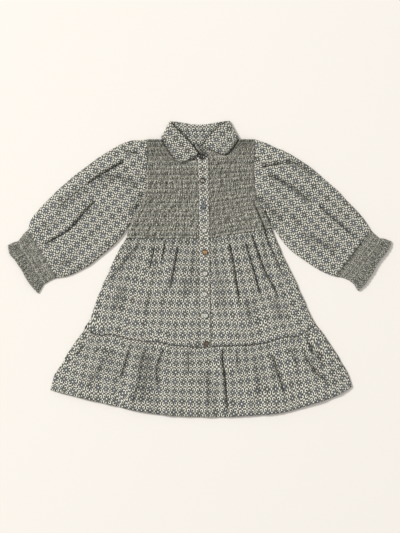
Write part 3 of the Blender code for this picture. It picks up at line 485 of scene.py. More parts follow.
def printed(web):
    """Colour of the small flower print, from the map in cells of the repeat."""
    uv = web.uv("cells")
    wobble = web.noise(uv, 0.8, 2.0, 0.5, colour=True)
    wx, wy = web.split(wobble)
    u, v = web.split(uv)
    u = web.math("MULTIPLY_ADD", web.sub(wx, 0.5), 0.34, u)
    v = web.math("MULTIPLY_ADD", web.sub(wy, 0.5), 0.34, v)
    p = web.mul(web.math("PINGPONG", u, 0.5), CELL_W)
    q = web.mul(web.math("PINGPONG", v, 0.5), CELL_H)
    pick = web.white(web.join(web.math("ROUND", u), web.math("ROUND", v)))
    far_p, far_q = web.sub(CELL_W / 2, p), web.sub(CELL_H / 2, q)
    r = web.length(p, q)
    most = lambda *values: values[0] if len(values) == 1 else web.math("MAXIMUM", values[0], most(*values[1:]))
    # The dark ring has an arm along each of the four axes
    arm = web.below(web.math("MINIMUM", p, q), 1.05, 0.5)
    ring = most(web.below(r, 3.55, 0.6), web.both(arm, web.below(r, 6.8, 0.6)))
    middle = web.below(web.length(web.mul(p, 1.15), q), 1.4, 0.5)
    # Four loops that open towards the middle, each with a dark eye
    lp, lq = web.sub(p, 4.6), web.sub(q, 5.2)
    lr = web.length(lp, lq)
    toward = web.math("DIVIDE", web.math("MULTIPLY_ADD", lp, -0.66, web.mul(lq, -0.75)),
                      web.math("MAXIMUM", lr, 0.01))
    loop = web.both(web.below(lr, 3.05, 0.4), web.below(1.65, lr, 0.4))
    loop = web.both(loop, web.below(toward, 0.6, 0.3))
    eye = web.below(lr, 1.5, 0.35)
    beads = most(web.below(web.length(web.sub(p, 6.3), q), 1.15, 0.5),
                 web.below(web.length(p, web.sub(q, 7.2)), 1.2, 0.5))
    spots = most(web.below(web.length(far_p, q), 1.35, 0.5), web.below(web.length(p, far_q), 1.35, 0.5),
                 web.below(web.length(far_p, far_q), 1.4, 0.5))
    bars = most(web.both(web.below(far_p, 0.8, 0.4), web.below(web.math("ABSOLUTE", web.sub(q, 5.2)), 2.9, 0.5)),
                web.both(web.below(far_q, 0.8, 0.4), web.below(web.math("ABSOLUTE", web.sub(p, 4.7)), 2.2, 0.5)))
    shade = web.noise(uv, 2.3, 2.0, 0.6)
    ground = web.mix(shade, (0.12, 0.12, 0.105), (0.28, 0.28, 0.25))
    tone = web.ramp(pick, RING_STOPS)
    colour = web.mix(ring, ground, tone)
    colour = web.mix(web.mul(bars, 0.85), colour, (0.04, 0.045, 0.045))
    colour = web.mix(loop, colour, CREAM)
    colour = web.mix(most(eye, beads), colour, DARK)
    warm = web.white(web.join(web.math("CEIL", web.mul(u, 2.0)), web.math("CEIL", web.mul(v, 2.0))))
    colour = web.mix(spots, colour, web.mix(warm, CREAM, PINK))
    colour = web.mix(middle, colour, (0.88, 0.88, 0.82))
    return colour, uv


def cloth_finish(web, colour, uv, rough=0.85):
    """Weave, fine crinkle and sheen of thin cotton, its stitched lines, and painted shade from the shade map."""
    deep, seam = web.split(web.uv("shade_and_seam"))
    u, v = web.split(uv)
    run = web.add(web.mul(u, CELL_W), web.mul(v, CELL_H))
    stitch = web.both(web.below(web.math("ABSOLUTE", seam), 0.0026, 0.001),
                      web.below(web.math("PINGPONG", run, 1.4), 0.95, 0.2))
    colour = web.mix(web.mul(stitch, 0.6), colour, (0.36, 0.355, 0.31))
    # Painted shade: the colour is darkened towards near-black by the first channel of the shade map, in folds, gaps
    # and along edges
    colour = web.mix(web.mul(deep, 0.8), colour, (0.012, 0.012, 0.008))
    warp = web.math("SINE", web.mul(u, CELL_W * 2 * math.pi / 0.55))
    weft = web.math("SINE", web.mul(v, CELL_H * 2 * math.pi / 0.55))
    weave = web.mul(warp, weft)
    crinkle = web.noise(uv, 4.5, 3.0, 0.55)
    normal = web.bump(crinkle, 0.35, 0.0011)
    normal = web.bump(stitch, 0.5, 0.0003, normal)
    normal = web.bump(weave, 0.12, 0.0002, normal)
    web.link(colour, web.shader.inputs["Base Color"])
    web.link(normal, web.shader.inputs["Normal"])
    web.link(web.math("MULTIPLY_ADD", weave, 0.04, rough), web.shader.inputs["Roughness"])
    web.shader.inputs["Specular IOR Level"].default_value = 0.25
    web.shader.inputs["Sheen Weight"].default_value = 0.12
    web.shader.inputs["Sheen Roughness"].default_value = 0.5
    return web.mat


def print_cloth(name, pale=0.0):
    web = Web(name)
    colour, uv = printed(web)
    if pale:
        colour = web.mix(pale, colour, CREAM)
    return cloth_finish(web, colour, uv)


def smock_cloth(name, dull=0.30, ground=(0.24, 0.235, 0.195)):
    """The print drawn together, with the pale thread of the smocking rows and painted light and shade on its small
    puffs.
    """
    web = Web(name)
    colour, uv = printed(web)
    rows = web.uv("rows")
    ru, rv = web.split(rows)
    near = web.math("PINGPONG", rv, 0.5)
    speck = web.noise(rows, 5.2, 1.5, 0.6)
    thread = web.below(near, 0.06, 0.05)
    broken = web.below(0.46, web.noise(rows, 3.5, 1.0, 0.5), 0.15)
    colour = web.mix(dull, colour, ground)
    # Painted shade and painted highlight: dark and pale specks at random over the smocking, for the light and shade on
    # its small puffs
    colour = web.mix(web.mul(web.below(speck, 0.44, 0.07), 0.74), colour, (0.045, 0.045, 0.035))
    colour = web.mix(web.mul(web.below(0.58, speck, 0.07), 0.55), colour, (0.66, 0.64, 0.53))
    colour = web.mix(web.mul(web.mul(thread, broken), 0.9), colour, (0.74, 0.72, 0.61))
    return cloth_finish(web, colour, uv)


MAT_PRINT = print_cloth("printed_cotton")
MAT_PLACKET = print_cloth("pressed_cotton", 0.04)
MAT_SMOCK = smock_cloth("smocked_cotton")
MAT_CUFF = smock_cloth("smocked_cuff", 0.5, (0.13, 0.13, 0.11))


def rounded(d, reach):
    """Rise of a folded edge, 0 at the edge and 1 past its reach."""
    k = np.clip(d / reach, 0, 1)
    return np.sqrt(1 - (1 - k) ** 2)


def from_side(xy):
    """Distance in from the sides of the skirt and tier."""
    ys = np.array(SIDE_LEFT + TIER_LEFT[1:])
    left = np.interp(-xy[..., 1], -ys[:, 1], -ys[:, 0])
    yr = np.array([(144.5, 81)] + SIDE_RIGHT[1:] + TIER_RIGHT[1:])
    right = np.interp(-xy[..., 1], -yr[:, 1], yr[:, 0])
    return np.maximum(np.minimum(xy[..., 0] + left, right - xy[..., 0]) * 0.88, 0)


SEAM_CURVE = smooth(TIER_SEAM)


def past_seam(xy):
    """How far a point lies under the gathered seam; over it the number is negative."""
    return np.interp(xy[..., 0], SEAM_CURVE[:, 0], SEAM_CURVE[:, 1]) - xy[..., 1]


def front_height(xy):
    """Outer side of the skirt's and tier's front before its creases."""
    d = from_side(xy)
    return 0.9 + 2.8 * rounded(d, 2.6) + 2.4 * (1 - np.exp(-d / 18))


def ripple(x, pitch, seed):
    """Uneven gathers along a seam, rounded on top and sharp between."""
    run = x / pitch + 0.35 * waves(x, x * 0, 2.1 * pitch, seed)
    return np.abs(np.sin(np.pi * run)) ** 0.8


def skirt_height(xy):
    d = from_side(xy)
    calm = 1 - np.exp(-d / 9)
    waist = np.where(xy[..., 0] < 10, 60 - xy[..., 1],
                     60.5 + np.clip((xy[..., 0] - 20) / 124, 0, 1) * 20.5 - xy[..., 1])
    z = front_height(xy)
    fold, deep = creased(xy, SKIRT_CREASES)
    z += calm * fold
    z += calm * (1.5 * waves(xy[..., 0], xy[..., 1] * 0.3, 20, 3)
                 + 0.35 * waves(xy[..., 0], xy[..., 1] * 0.5, 9, 4))
    lean = xy[..., 0] - 0.0016 * (xy[..., 0] - 10) * (60 - xy[..., 1])
    z += calm * 1.0 * (ripple(lean, 8.5, 5) - 0.5) * np.exp(-np.maximum(waist, 0) / 22)
    near = -past_seam(xy)
    z += calm * 0.8 * (ripple(xy[..., 0], 6.1, 6) - 0.5) * np.exp(-np.maximum(near, 0) / 6)
    z -= 2.2 * np.exp(-(np.maximum(waist, 0) / 2.2) ** 2) + 1.6 * np.exp(-(near / 2.0) ** 2)
    strip = np.maximum(np.interp(-xy[..., 1], [-r[0] for r in PLACKET], [r[1] for r in PLACKET]) - xy[..., 0],
                       xy[..., 0] - np.interp(-xy[..., 1], [-r[0] for r in PLACKET], [r[2] for r in PLACKET]))
    z -= (z - 4.6) * np.exp(-(strip / 7) ** 2)
    # Painted shade along the waist seam and faintly below it, in the tucks at the tier seam, beside the placket's free
    # right edge as its shadow, between the waist gathers, and along the side edges where the cloth turns under
    gather = 1 - ripple(lean, 8.5, 5)
    deep = np.maximum(deep, 0.22 * np.exp(-(waist / 1.3) ** 2))
    deep = np.maximum(deep, 0.12 * np.exp(-np.maximum(waist, 0) / 40))
    tuck = 1 - ripple(xy[..., 0], 6.1, 6)
    deep = np.maximum(deep, (0.35 + 0.6 * tuck) * np.exp(-(near / 1.7) ** 2))
    right = np.where(xy[..., 0] > 12, np.exp(-strip / 0.9), 0)
    deep = np.maximum(deep, 0.3 * right)
    deep = np.maximum(deep, 0.8 * gather ** 2 * np.exp(-np.maximum(waist, 0) / 14))
    return np.maximum(z, 1.3), np.maximum(calm * deep, 0.5 * np.exp(-d / 1.1))


def tier_height(xy):
    d = from_side(xy)
    calm = 1 - np.exp(-d / 9)
    near = np.maximum(past_seam(xy), 0)
    hem = np.maximum(xy[..., 1] - np.interp(xy[..., 0], [p[0] for p in HEM], [p[1] for p in HEM]), 0)
    z = front_height(xy) - 1.6 * (1 - rounded(hem, 2.0))
    fold, deep = creased(xy, TIER_CREASES)
    z += calm * fold
    z += calm * (1.5 * waves(xy[..., 0], xy[..., 1] * 0.3, 20, 7)
                 + 0.4 * waves(xy[..., 0], xy[..., 1] * 0.5, 8.5, 8))
    fan = xy[..., 0] * (1 - 0.0013 * near)
    z += calm * 1.5 * (ripple(fan, 6.1, 6) - 0.45) * np.exp(-(near / 13) ** 1.1)
    z += calm * 0.8 * (ripple(fan, 13.5, 9) - 0.5) * np.exp(-near / 45)
    z -= 2.4 * np.exp(-(near / 1.8) ** 2)
    # Painted shade between the gathers under the tier seam and along it, along the hem, and along the side edges where
    # the cloth turns under
    gather = 1 - ripple(fan, 6.1, 6)
    patchy = np.clip(1.0 + 0.9 * waves(fan, fan * 0, 15, 44), 0.15, 1.3)
    deep = np.maximum(deep, patchy * (gather ** 2 * np.exp(-near / 6) + 0.4 * np.exp(-(near / 1.6) ** 2)))
    deep = np.maximum(deep, 0.45 * np.exp(-hem / 1.2))
    return np.maximum(z, 1.3), np.maximum(calm * deep, 0.5 * np.exp(-d / 1.1)), hem - 9.5


def shade_map(deep, seam=None):
    """Painted shade for each point from 0 to 1, and how far it lies from a stitched line in decimetres."""
    return np.stack([deep, np.broadcast_to(9.0 if seam is None else seam / 100, deep.shape)], -1)


def over(xy, z):
    return np.concatenate([xy, z[..., None]], -1)


def cells_map(us, vs, width, height, shift=(0.0, 0.0)):
    """Cloth in cells of the print, for a panel of the given width and height of flat cloth."""
    u = np.broadcast_to(np.asarray(us, float)[None, :], (len(vs), len(us)))
    v = np.broadcast_to(np.asarray(vs, float)[:, None], (len(vs), len(us)))
    return np.stack([u * width / CELL_W + shift[0], -v * height / CELL_H + shift[1]], -1)


def span(size, step):
    return np.linspace(0, 1, int(size / step) + 1)


def strip_edge(column, y0, y1, dx=0.0):
    ys = [-r[0] for r in PLACKET]
    xs = [r[column] for r in PLACKET]
    return lambda t: np.stack([np.interp(-(y0 + (y1 - y0) * np.asarray(t)), ys, xs) + dx,
                               y0 + (y1 - y0) * np.asarray(t)], -1)


def line(x0, y0, x1, y1):
    return lambda t: np.array([x0, y0]) + np.array([x1 - x0, y1 - y0]) * np.asarray(t)[..., None]


def seam_run(x0, x1):
    return lambda u: np.stack([x0 + (x1 - x0) * u,
                               np.interp(x0 + (x1 - x0) * u, SEAM_CURVE[:, 0], SEAM_CURVE[:, 1])], -1)


def fanned_map(xy, us, vs, wide_top, wide_low, tall_left, tall_right, shift):
    """Cloth of a panel that is gathered at its top: the print opens out downwards."""
    v = np.asarray(vs)[:, None]
    u = np.asarray(us)[None, :]
    wide = wide_top + (wide_low - wide_top) * v
    tall = tall_left + (tall_right - tall_left) * u
    pull = np.stack([0.17 * waves(xy[..., 0], xy[..., 1], 34, 41), 0.24 * waves(xy[..., 0], xy[..., 1], 44, 42)], -1)
    return pull + np.stack([(u - 0.5) * wide / CELL_W + shift[0], -v * tall / CELL_H + shift[1]], -1)


def make_skirt():
    seam_y = lambda x: float(np.interp(x, SEAM_CURVE[:, 0], SEAM_CURVE[:, 1]))
    us, vs = span(190, 1.0), span(215, 1.8)
    edges = (line(-147, 60, -1, 60), seam_run(-228, 3), by_length(SIDE_LEFT),
             strip_edge(1, 60, seam_y(3)))
    xy = patch(*edges, us, vs)
    cells = fanned_map(xy, us, vs, 190, 262, 198, 217, (0.3, 0.2))
    z, deep = skirt_height(xy)
    obj = new_sheet("skirt_front_left", over(xy, z), {"cells": cells, "shade_and_seam": shade_map(deep)})
    placed(obj, MAT_PRINT, ["front_skirt_left"])

    edges = (line(20.6, 60.5, 144.5, 81), seam_run(23, 234), strip_edge(2, 60.5, seam_y(23)),
             by_length(SIDE_RIGHT))
    xy = patch(*edges, us, vs)
    cells = fanned_map(xy, us, vs, 175, 245, 217, 216, (0.1, 0.45))
    z, deep = skirt_height(xy)
    obj = new_sheet("skirt_front_right", over(xy, z), {"cells": cells, "shade_and_seam": shade_map(deep)})
    placed(obj, MAT_PRINT, ["front_skirt_right"])

    us, vs = span(560, 1.25), span(140, 1.9)
    hem = smooth(HEM)
    low = lambda u: np.stack([-298 + 603 * u, np.interp(-298 + 603 * u, hem[:, 0], hem[:, 1])], -1)
    edges = (seam_run(-228, 234), low, by_length(TIER_LEFT), by_length(TIER_RIGHT))
    xy = patch(*edges, us, vs)
    cells = fanned_map(xy, us, vs, 560, 660, 142, 142, (0.2, 0.6))
    z, deep, hem_line = tier_height(xy)
    obj = new_sheet("tier_front", over(xy, z), {"cells": cells, "shade_and_seam": shade_map(deep, hem_line)})
    placed(obj, MAT_PRINT, ["front_tier"])


def back_sheet(name, node, edges, size):
    """A plain back panel, flat on the surface that it lies on, with painted shade inside the neck."""
    us, vs = span(size[0], 5), span(size[1], 5)
    xy = patch(*edges, us, vs)
    z = np.full(xy.shape[:-1], 0.62)
    z += 0.12 * waves(xy[..., 0], xy[..., 1], 30, 20) * np.minimum(from_edge(us, vs, size) / 12, 1)
    # Painted shade on the back inside the neck's V and along the collar's roll lines, where the leaves keep the light
    # out
    neck_shade = np.exp(-((xy[..., 0] - 5) / 8) ** 2 - ((xy[..., 1] - 233) / 13) ** 2)
    neck_shade = np.maximum(neck_shade, collar_shade(over(xy, z)) * (xy[..., 1] > 200))
    obj = new_sheet(name, over(xy, z), {"cells": cells_map(us, vs, size[0], size[1], (0.4, 0.1)),
                                        "shade_and_seam": shade_map(neck_shade)})
    placed(obj, MAT_PRINT, [node])
    return obj


def from_edge(us, vs, size):
    u = np.minimum(us, 1 - us)[None, :] * size[0]
    v = np.minimum(vs, 1 - vs)[:, None] * size[1]
    return np.minimum(u, v)


def make_backs():
    left = by_height(ARM_LEFT[:-1] + [(-147, 60)])
    right = by_height(ARM_RIGHT[:-1] + [(144.5, 81), (152, 60)])
    neck = smooth(NECK_BACK)
    lx, rx = -105.0, 111.0
    neck[:, 1] += 3.4 * np.clip(1 - (neck[:, 0] / 60) ** 2, 0, 1)
    curve = np.vstack([[lx, 258], neck, [rx, 258]])
    top = lambda t: np.stack([lx + (rx - lx) * t, np.interp(lx + (rx - lx) * t, curve[:, 0], curve[:, 1])], -1)
    back_sheet("bodice_back", "back_bodice", (top, line(-147, 60, 152, 60), left, right), (290, 198))
    right_b = by_length([(152, 60)] + SIDE_RIGHT[2:])
    back_sheet("skirt_back", "back_skirt",
               (line(-147, 60, 152, 60), seam_run(-228, 234), by_length(SIDE_LEFT), right_b),
               (460, 215))
    hem = smooth(HEM)
    low = lambda u: np.stack([-298 + 603 * u, np.interp(-298 + 603 * u, hem[:, 0], hem[:, 1])], -1)
    back_sheet("tier_back", "back_tier",
               (seam_run(-228, 234), low, by_length(TIER_LEFT), by_length(TIER_RIGHT)),
               (600, 140))


def smocked(rows, across, seed, width):
    """Height from 0 to 1 of smocked cloth: puffs between the rows, drawn in at each row."""
    phase = rows % 1.0
    number = np.floor(rows)
    puff = np.sin(np.pi * phase) ** 0.75
    run = across * width / 4.7
    run = run + 0.7 * waves(run, rows * 1.0, 2.0, seed) + 0.6 * waves(run, number * 7.3, 1.5, seed + 1)
    pleat = np.abs(np.sin(np.pi * run)) ** 0.6
    uneven = 0.68 + 0.5 * waves(run, rows * 1.6, 1.0, seed + 2)
    return (0.38 + 0.62 * puff) * (0.22 + 0.78 * pleat) * uneven


def leaf_calm(xy):
    """0 where the collar's leaves lie on the smocking, 1 away from them."""
    leaf = np.interp(xy[..., 0], [r[0] for r in LEAF_LINE], [r[1] for r in LEAF_LINE])
    return np.clip((leaf - 1 - xy[..., 1]) / 3.5, 0.15, 1)


LEAF_LINE = [(-110, 400), (-79, 400), (-77, 262), (-67, 245), (-52, 222), (-42, 211), (-34, 208),
             (-12, 213), (2, 222), (7, 240), (25, 229), (43, 225), (50, 225), (59, 231), (66, 240),
             (72, 249), (79, 261), (81, 400), (115, 400)]


def bodice_lift(xy):
    drop = np.clip((256 - xy[..., 1]) / 60, 0, 1)
    side = np.clip((150 - np.abs(xy[..., 0] - 2)) / 40, 0, 1)
    return 0.3 + 0.9 * drop * side


def make_bodice():
    neck_l = smooth(NECK_LEFT)
    neck_r = smooth(NECK_RIGHT)
    edge_l = lambda y: np.interp(-y, [-r[0] for r in PLACKET], [r[1] for r in PLACKET])
    edge_r = lambda y: np.interp(-y, [-r[0] for r in PLACKET], [r[2] for r in PLACKET])

    def centre_left(t):
        y = 258 - np.asarray(t) * (258 - 60)
        x = np.where(y > 215, np.interp(-y, -neck_l[:, 1], neck_l[:, 0]), edge_l(y) + 1.0)
        return np.stack([x, y], -1)

    def centre_right(t):
        y = 258 - np.asarray(t) * (258 - 60.5)
        x = np.where(y > 238.2, np.interp(-y, -neck_r[:, 1], neck_r[:, 0]), edge_r(y) - 0.6)
        return np.stack([x, y], -1)

    for word, arm, centre, mirror, seed in (("left", by_height(ARM_LEFT), centre_left, False, 31),
                                            ("right", by_height(ARM_RIGHT), centre_right, True, 51)):
        left, right = (centre, arm) if mirror else (arm, centre)
        a0, a1 = left(np.array([0.0, 1.0]))
        b0, b1 = right(np.array([0.0, 1.0]))
        us, vs = span(125, 0.8), span(198, 0.9)
        edges = (line(*a0, *b0), line(*a1, *b1), left, right)
        xy = patch(*edges, us, vs)
        width = 115.0
        rows = np.broadcast_to((vs * (SMOCK_ROWS + 0.15) + 0.3)[:, None], xy.shape[:-1])
        across = np.broadcast_to((us if mirror else 1 - us)[None, :], xy.shape[:-1])
        relief = smocked(rows, across, seed, width) * leaf_calm(xy)
        side = np.minimum(us, 1 - us)[None, :] * width
        ends = np.minimum(side / 2.0, 1)
        z = 1.6 + bodice_lift(xy) + 0.2 + 5.4 * relief * (0.55 + 0.45 * ends)
        z += 0.8 * waves(xy[..., 0], xy[..., 1], 34, seed + 7) * np.minimum(side / 15, 1) * leaf_calm(xy)
        fold, deep = creased(xy, SKIRT_CREASES)
        z += fold * 0.9
        # Painted shade in the valleys between the smocked puffs
        deep = np.maximum(deep, np.clip(0.52 - relief, 0, 0.4) * 1.5 * leaf_calm(xy))
        z -= 0.5 * np.exp(-((1 - vs)[:, None] * 198 / 1.6) ** 2)
        rows_of = COLLAR_RIGHT[:3:-1] if mirror else COLLAR_LEFT[:7]
        # Painted shadow along the outer edges of the collar's leaves
        leaf, _ = side_of(xy, [rows_of[0][:2]] + [r[2:4] for r in rows_of])
        outer = np.clip((xy[..., 1] - 200) / 30, 0.35, 1) * np.exp(-(leaf / 2.7) ** 2)
        deep = np.maximum(deep, outer)
        # Painted shadow of the placket's free edge on the right panel
        if mirror:
            deep = np.maximum(deep, 0.95 * np.exp(-np.maximum(us[None, :] * width - 0.6, 0) / 1.5)
                              * (xy[..., 1] < 228))
        cells = cells_map(us, vs, width * 1.62, 198 * 1.02, (0.15, 0.4))
        cells[..., 0] += 0.10 * waves(xy[..., 0], xy[..., 1], 7, seed + 3)
        cells[..., 1] += 0.10 * waves(xy[..., 0], xy[..., 1], 7, seed + 4)
        obj = new_sheet(f"bodice_front_{word}", over(xy, np.maximum(z, 1.4)),
                        {"cells": cells, "rows": np.stack([across * 10, rows], -1),
                         "shade_and_seam": shade_map(deep)})
        placed(obj, MAT_SMOCK, [f"front_bodice_{word}"])


def make_sleeves():
    for side, arm, up, low, cuff_up, cuff_low, cuff_end in (
            (-1, ARM_LEFT, SLEEVE_LEFT_UP, SLEEVE_LEFT_LOW, CUFF_LEFT_UP, CUFF_LEFT_LOW, CUFF_LEFT_END),
            (1, ARM_RIGHT, SLEEVE_RIGHT_UP, SLEEVE_RIGHT_LOW, CUFF_RIGHT_UP, CUFF_RIGHT_LOW,
             CUFF_RIGHT_END)):
        word = "left" if side < 0 else "right"
        end = np.array([up[-1], low[-1]], float)
        seam = line(*end[0], *end[1])
        edges = (by_length(up), by_length(low), armhole_edge(arm), seam)

        def raised(xy, near, u, v, side=side):
            head, tail = u * 260, (1 - u) * 260
            z = 3.6 + 2.5 * (1 - np.exp(-near / 16)) * (1 - np.exp(-(head + 3) / 24))
            calm = np.minimum(near / 10, 1)
            fold, deep = creased(xy, SLEEVE_CREASES)
            z = z + calm * fold
            along, across = xy[..., 0] * 0.78 - side * xy[..., 1] * 0.62, side * xy[..., 0] * 0.62 + xy[..., 1] * 0.78
            z = z + calm * (1.9 * waves(along * 0.35, across, 22, 61 + side)
                            + 0.35 * waves(xy[..., 0] + xy[..., 1], xy[..., 1] * 0.4, 10, 64 + side))
            z = z + calm * 0.9 * (ripple(v * 170, 8.5, 66) - 0.5) * np.exp(-head / 14)
            z = z + calm * 1.5 * (ripple(v * 112, 6.2, 67) - 0.5) * np.exp(-tail / 22)
            # Painted shade between the gathers at the cuff seam and in the underarm corner of the sleeve head
            gather = 1 - ripple(v * 112, 6.2, 67)
            deep = np.maximum(deep, 0.4 * gather ** 2 * np.exp(-tail / 14))
            deep = np.maximum(deep, 0.55 * np.exp(-(head * head + (1 - v) ** 2 * 22000) / 420))
            # Painted shadow in the gap under the right arm
            if side > 0:
                shut = np.exp(-(head / 2.4) ** 2) * np.clip((113 - xy[..., 1]) / 5, 0, 1)
                z, calm, deep = z - 1.5 * shut, np.maximum(calm, shut), np.maximum(deep, shut)
            z = z - 0.2 * np.exp(-(head / 1.8) ** 2) - 0.3 * np.exp(-(tail / 2.0) ** 2)
            # Painted shade along the sleeve's folded edges
            return np.maximum(z, 1.5), np.maximum(calm * deep, 0.5 * np.exp(-near / 1.1))

        us = span(262, 1.5)
        tube(f"sleeve_{word}", side, edges, us, 120, raised, (270, 1.12), MAT_PRINT, [f"sleeve_{word}"])

        edges = (by_length(cuff_up), by_length(cuff_low), seam, by_length(cuff_end))

        def cuff(xy, near, u, v, side=side):
            band = np.clip(u / 0.58, 0, 1)
            inset = np.clip(near / 5, 0, 1)
            base = 1.6 + (0.6 + 0.7 * u) * (1 - np.exp(-near / 10)) + 1.3
            rows = band * 3.35
            relief = smocked(rows, v, 71 + side, 112)
            frill = np.clip((u - 0.58) / 0.42, 0, 1)
            wave = (ripple(v * 112, 7.4, 73 + side) - 0.45) * (0.4 + 0.55 * frill)
            z = base + inset * np.where(u < 0.58, 1.9 * relief - 0.3, wave + 0.3)
            z = z + 0.9 * np.exp(-(u * 53 / 4.0) ** 2) - 0.9 * np.exp(-((u - 0.58) * 53 / 1.6) ** 2)
            # Painted shade in the smocking's valleys, over the whole ruffle and most between its gathers, and in
            # dashes along the seam between band and ruffle
            deep = np.where(u < 0.58, np.clip(0.52 - relief, 0, 0.4) * 1.5,
                            0.16 + (1 - ripple(v * 112, 7.4, 73 + side)) ** 2 * 0.6)
            deep = np.maximum(deep, 0.8 * (1 - ripple(v * 112, 5.2, 75 + side)) * np.exp(-((u - 0.6) * 53 / 2.0) ** 2))
            # Painted shade along the cuff's folded edges
            return np.maximum(z, 1.4), np.maximum(inset * deep, 0.5 * np.exp(-near / 1.1))

        tube(f"cuff_{word}", side, edges, span(53, 0.9), 110, cuff, (56, 1.6), MAT_CUFF, [f"cuff_{word}"])


def along_sleeve(xy, side):
    """The print on a sleeve, whose rows run along it and across it."""
    a, b = np.array([14.0, 11.3]), np.array([9.5, -15.9])
    if side > 0:
        a, b = np.array([13.1, -12.1]), np.array([-10.8, -15.1])
    turn = np.linalg.inv(np.stack([a, b], 1))
    return (xy - np.array([side * 100.0, 258.0])) @ turn.T


def tube(name, side, edges, us, count, height, flat, mat, nodes):
    """A flattened tube of cloth: its upper side in full detail, its under side plain."""
    fine = 0.5 - 0.5 * np.cos(np.linspace(0, math.pi, count + 1))
    vs = 0.35 * fine + 0.65 * np.linspace(0, 1, count + 1)
    plain = np.linspace(1, 0, 27)[1:-1]
    top = patch(*edges, us, vs)
    low = patch(*edges, us, plain)
    ends = patch(*edges, us, np.array([0.0, 1.0]))
    width = np.hypot(*(ends[0] - ends[1]).T)
    near = np.minimum(vs, 1 - vs)[:, None] * width[None, :]
    z, deep = height(top, near, np.broadcast_to(us[None, :], near.shape),
                     np.broadcast_to(vs[:, None], near.shape))
    z = 0.9 + (z - 0.9) * rounded(near, 2.4)
    bottom_near = np.minimum(plain, 1 - plain)[:, None] * width[None, :]
    z_low = 0.9 - 0.75 * rounded(bottom_near, 2.4)
    points = np.concatenate([over(top, z), over(low, z_low)], 0).transpose(1, 0, 2)
    run = np.concatenate([vs, 2 - plain, [2.0]])
    mean = float(width.mean())
    u_map = np.broadcast_to((run * mean * flat[1] / CELL_W)[None, :], (len(us), len(run)))
    v_map = np.broadcast_to((us * flat[0] / CELL_H)[:, None], (len(us), len(run)))
    deep = np.concatenate([deep, np.zeros((len(plain) + 1, len(us)))], 0).T
    maps = {"cells": np.stack([u_map, v_map], -1), "shade_and_seam": shade_map(deep)}
    if mat is MAT_PRINT:
        flat_xy = np.concatenate([top, low, top[:1]], 0).transpose(1, 0, 2)
        maps["cells"] = along_sleeve(flat_xy, side)
    if mat is MAT_CUFF:
        along = np.where(us < 0.58, us / 0.58 * 3.35, 3.5 + 0.32 * np.sin((us - 0.58) * 17.7 - 0.49))
        maps["rows"] = np.stack([np.broadcast_to(run * 10, u_map.shape),
                                 np.broadcast_to(along[:, None], u_map.shape)], -1)
    obj = new_sheet(name + "_cloth", points, maps, closed=True, flip=side > 0)
    placed(obj, mat, nodes)


def upsampled(grid, rows, cols):
    """A finer smooth grid through a coarse one."""
    def along(a, steps):
        ext = np.concatenate([2 * a[:1] - a[1:2], a, 2 * a[-1:] - a[-2:-1]])
        out = []
        for i in range(1, len(ext) - 2):
            p0, p1, p2, p3 = ext[i - 1], ext[i], ext[i + 1], ext[i + 2]
            for k in range(steps):
                t = k / steps
                out.append(0.5 * (2 * p1 + (p2 - p0) * t + (2 * p0 - 5 * p1 + 4 * p2 - p3) * t * t
                                  + (3 * p1 - p0 - 3 * p2 + p3) * t ** 3))
        out.append(ext[-2])
        return np.array(out)
    fine = along(grid, rows)
    return along(fine.transpose(1, 0, 2), cols).transpose(1, 0, 2)


def collar_section(row):
    """Sections of the fall, from its joint over the roll to its edge, and of the stand."""
    rx, ry, ex, ey, sx, sy, z_roll, z_edge, kind, nx, ny, nz = row
    roll, edge = np.array([rx, ry]), np.array([ex, ey])
    neck = np.array([nx, ny])
    out = (edge - roll) / np.hypot(*(edge - roll))
    if kind in (1, 2):
        low = 4.2 if kind == 1 else 4.3
        under = [(*(roll + out * 3.0), low), (*(roll + out * 1.9), low), (*(roll + out * 0.8), low)]
        first = (*(roll + out * 0.8), z_roll)
        top = roll + out * (3.0 + LAY + (0.1 if kind == 1 else 1.0))
    else:
        joint = np.array([sx, sy])
        back = (joint - roll) / np.hypot(*(joint - roll))
        low = {0: 2.05, 4: 1.95, 3: 3.1}[kind]
        part = np.array([0.85 * np.sign(rx), 0.0]) if kind == 3 else 0.0
        under = [(*joint, low), (*(0.5 * (joint + roll) - part), low), (*(roll + back - part), low)]
        first = (*(roll + out + part), z_roll)
        top = joint + back * (LAY + (0.1 if kind == 0 else 1.0))
    fall = under + [(*roll, 0.5 * (low + z_roll)), first]
    for t in (0.34, 0.67, 1.0):
        fall.append((*(roll + (edge - roll) * t), z_roll + (z_edge - z_roll) * t))
    rise = [(0.0, nz), (0.3, nz + 0.85 * (low - nz)), (0.65, low), (1.0, low)]
    return fall, [(*(neck + (top - neck) * k), z) for k, z in rise]


def collar_shade(points):
    """Painted shade: dark lines where the turned-down leaves close over the inside of the collar, a thin line on the
    leaves along their roll, and a faint darkening everywhere else.
    """
    xy, z = points[..., :2], points[..., 2]
    left, _ = side_of(xy, [r[:2] for r in COLLAR_LEFT[:7]])
    right, _ = side_of(xy, [r[:2] for r in COLLAR_RIGHT[:3:-1]])
    deep = np.where((left < 0) & (z < 5), 1.1 * np.exp(-(left / 5.4) ** 2), 0)
    deep = np.maximum(deep, np.where((right > 0) & (z < 5), 0.85 * np.exp(-(right / 7) ** 2), 0))
    deep = np.maximum(deep, np.where(z > 5, 0.5 * np.exp(-(np.minimum(abs(left), abs(right)) / 1.2) ** 2), 0))
    return np.clip(deep, 0.07, 1)


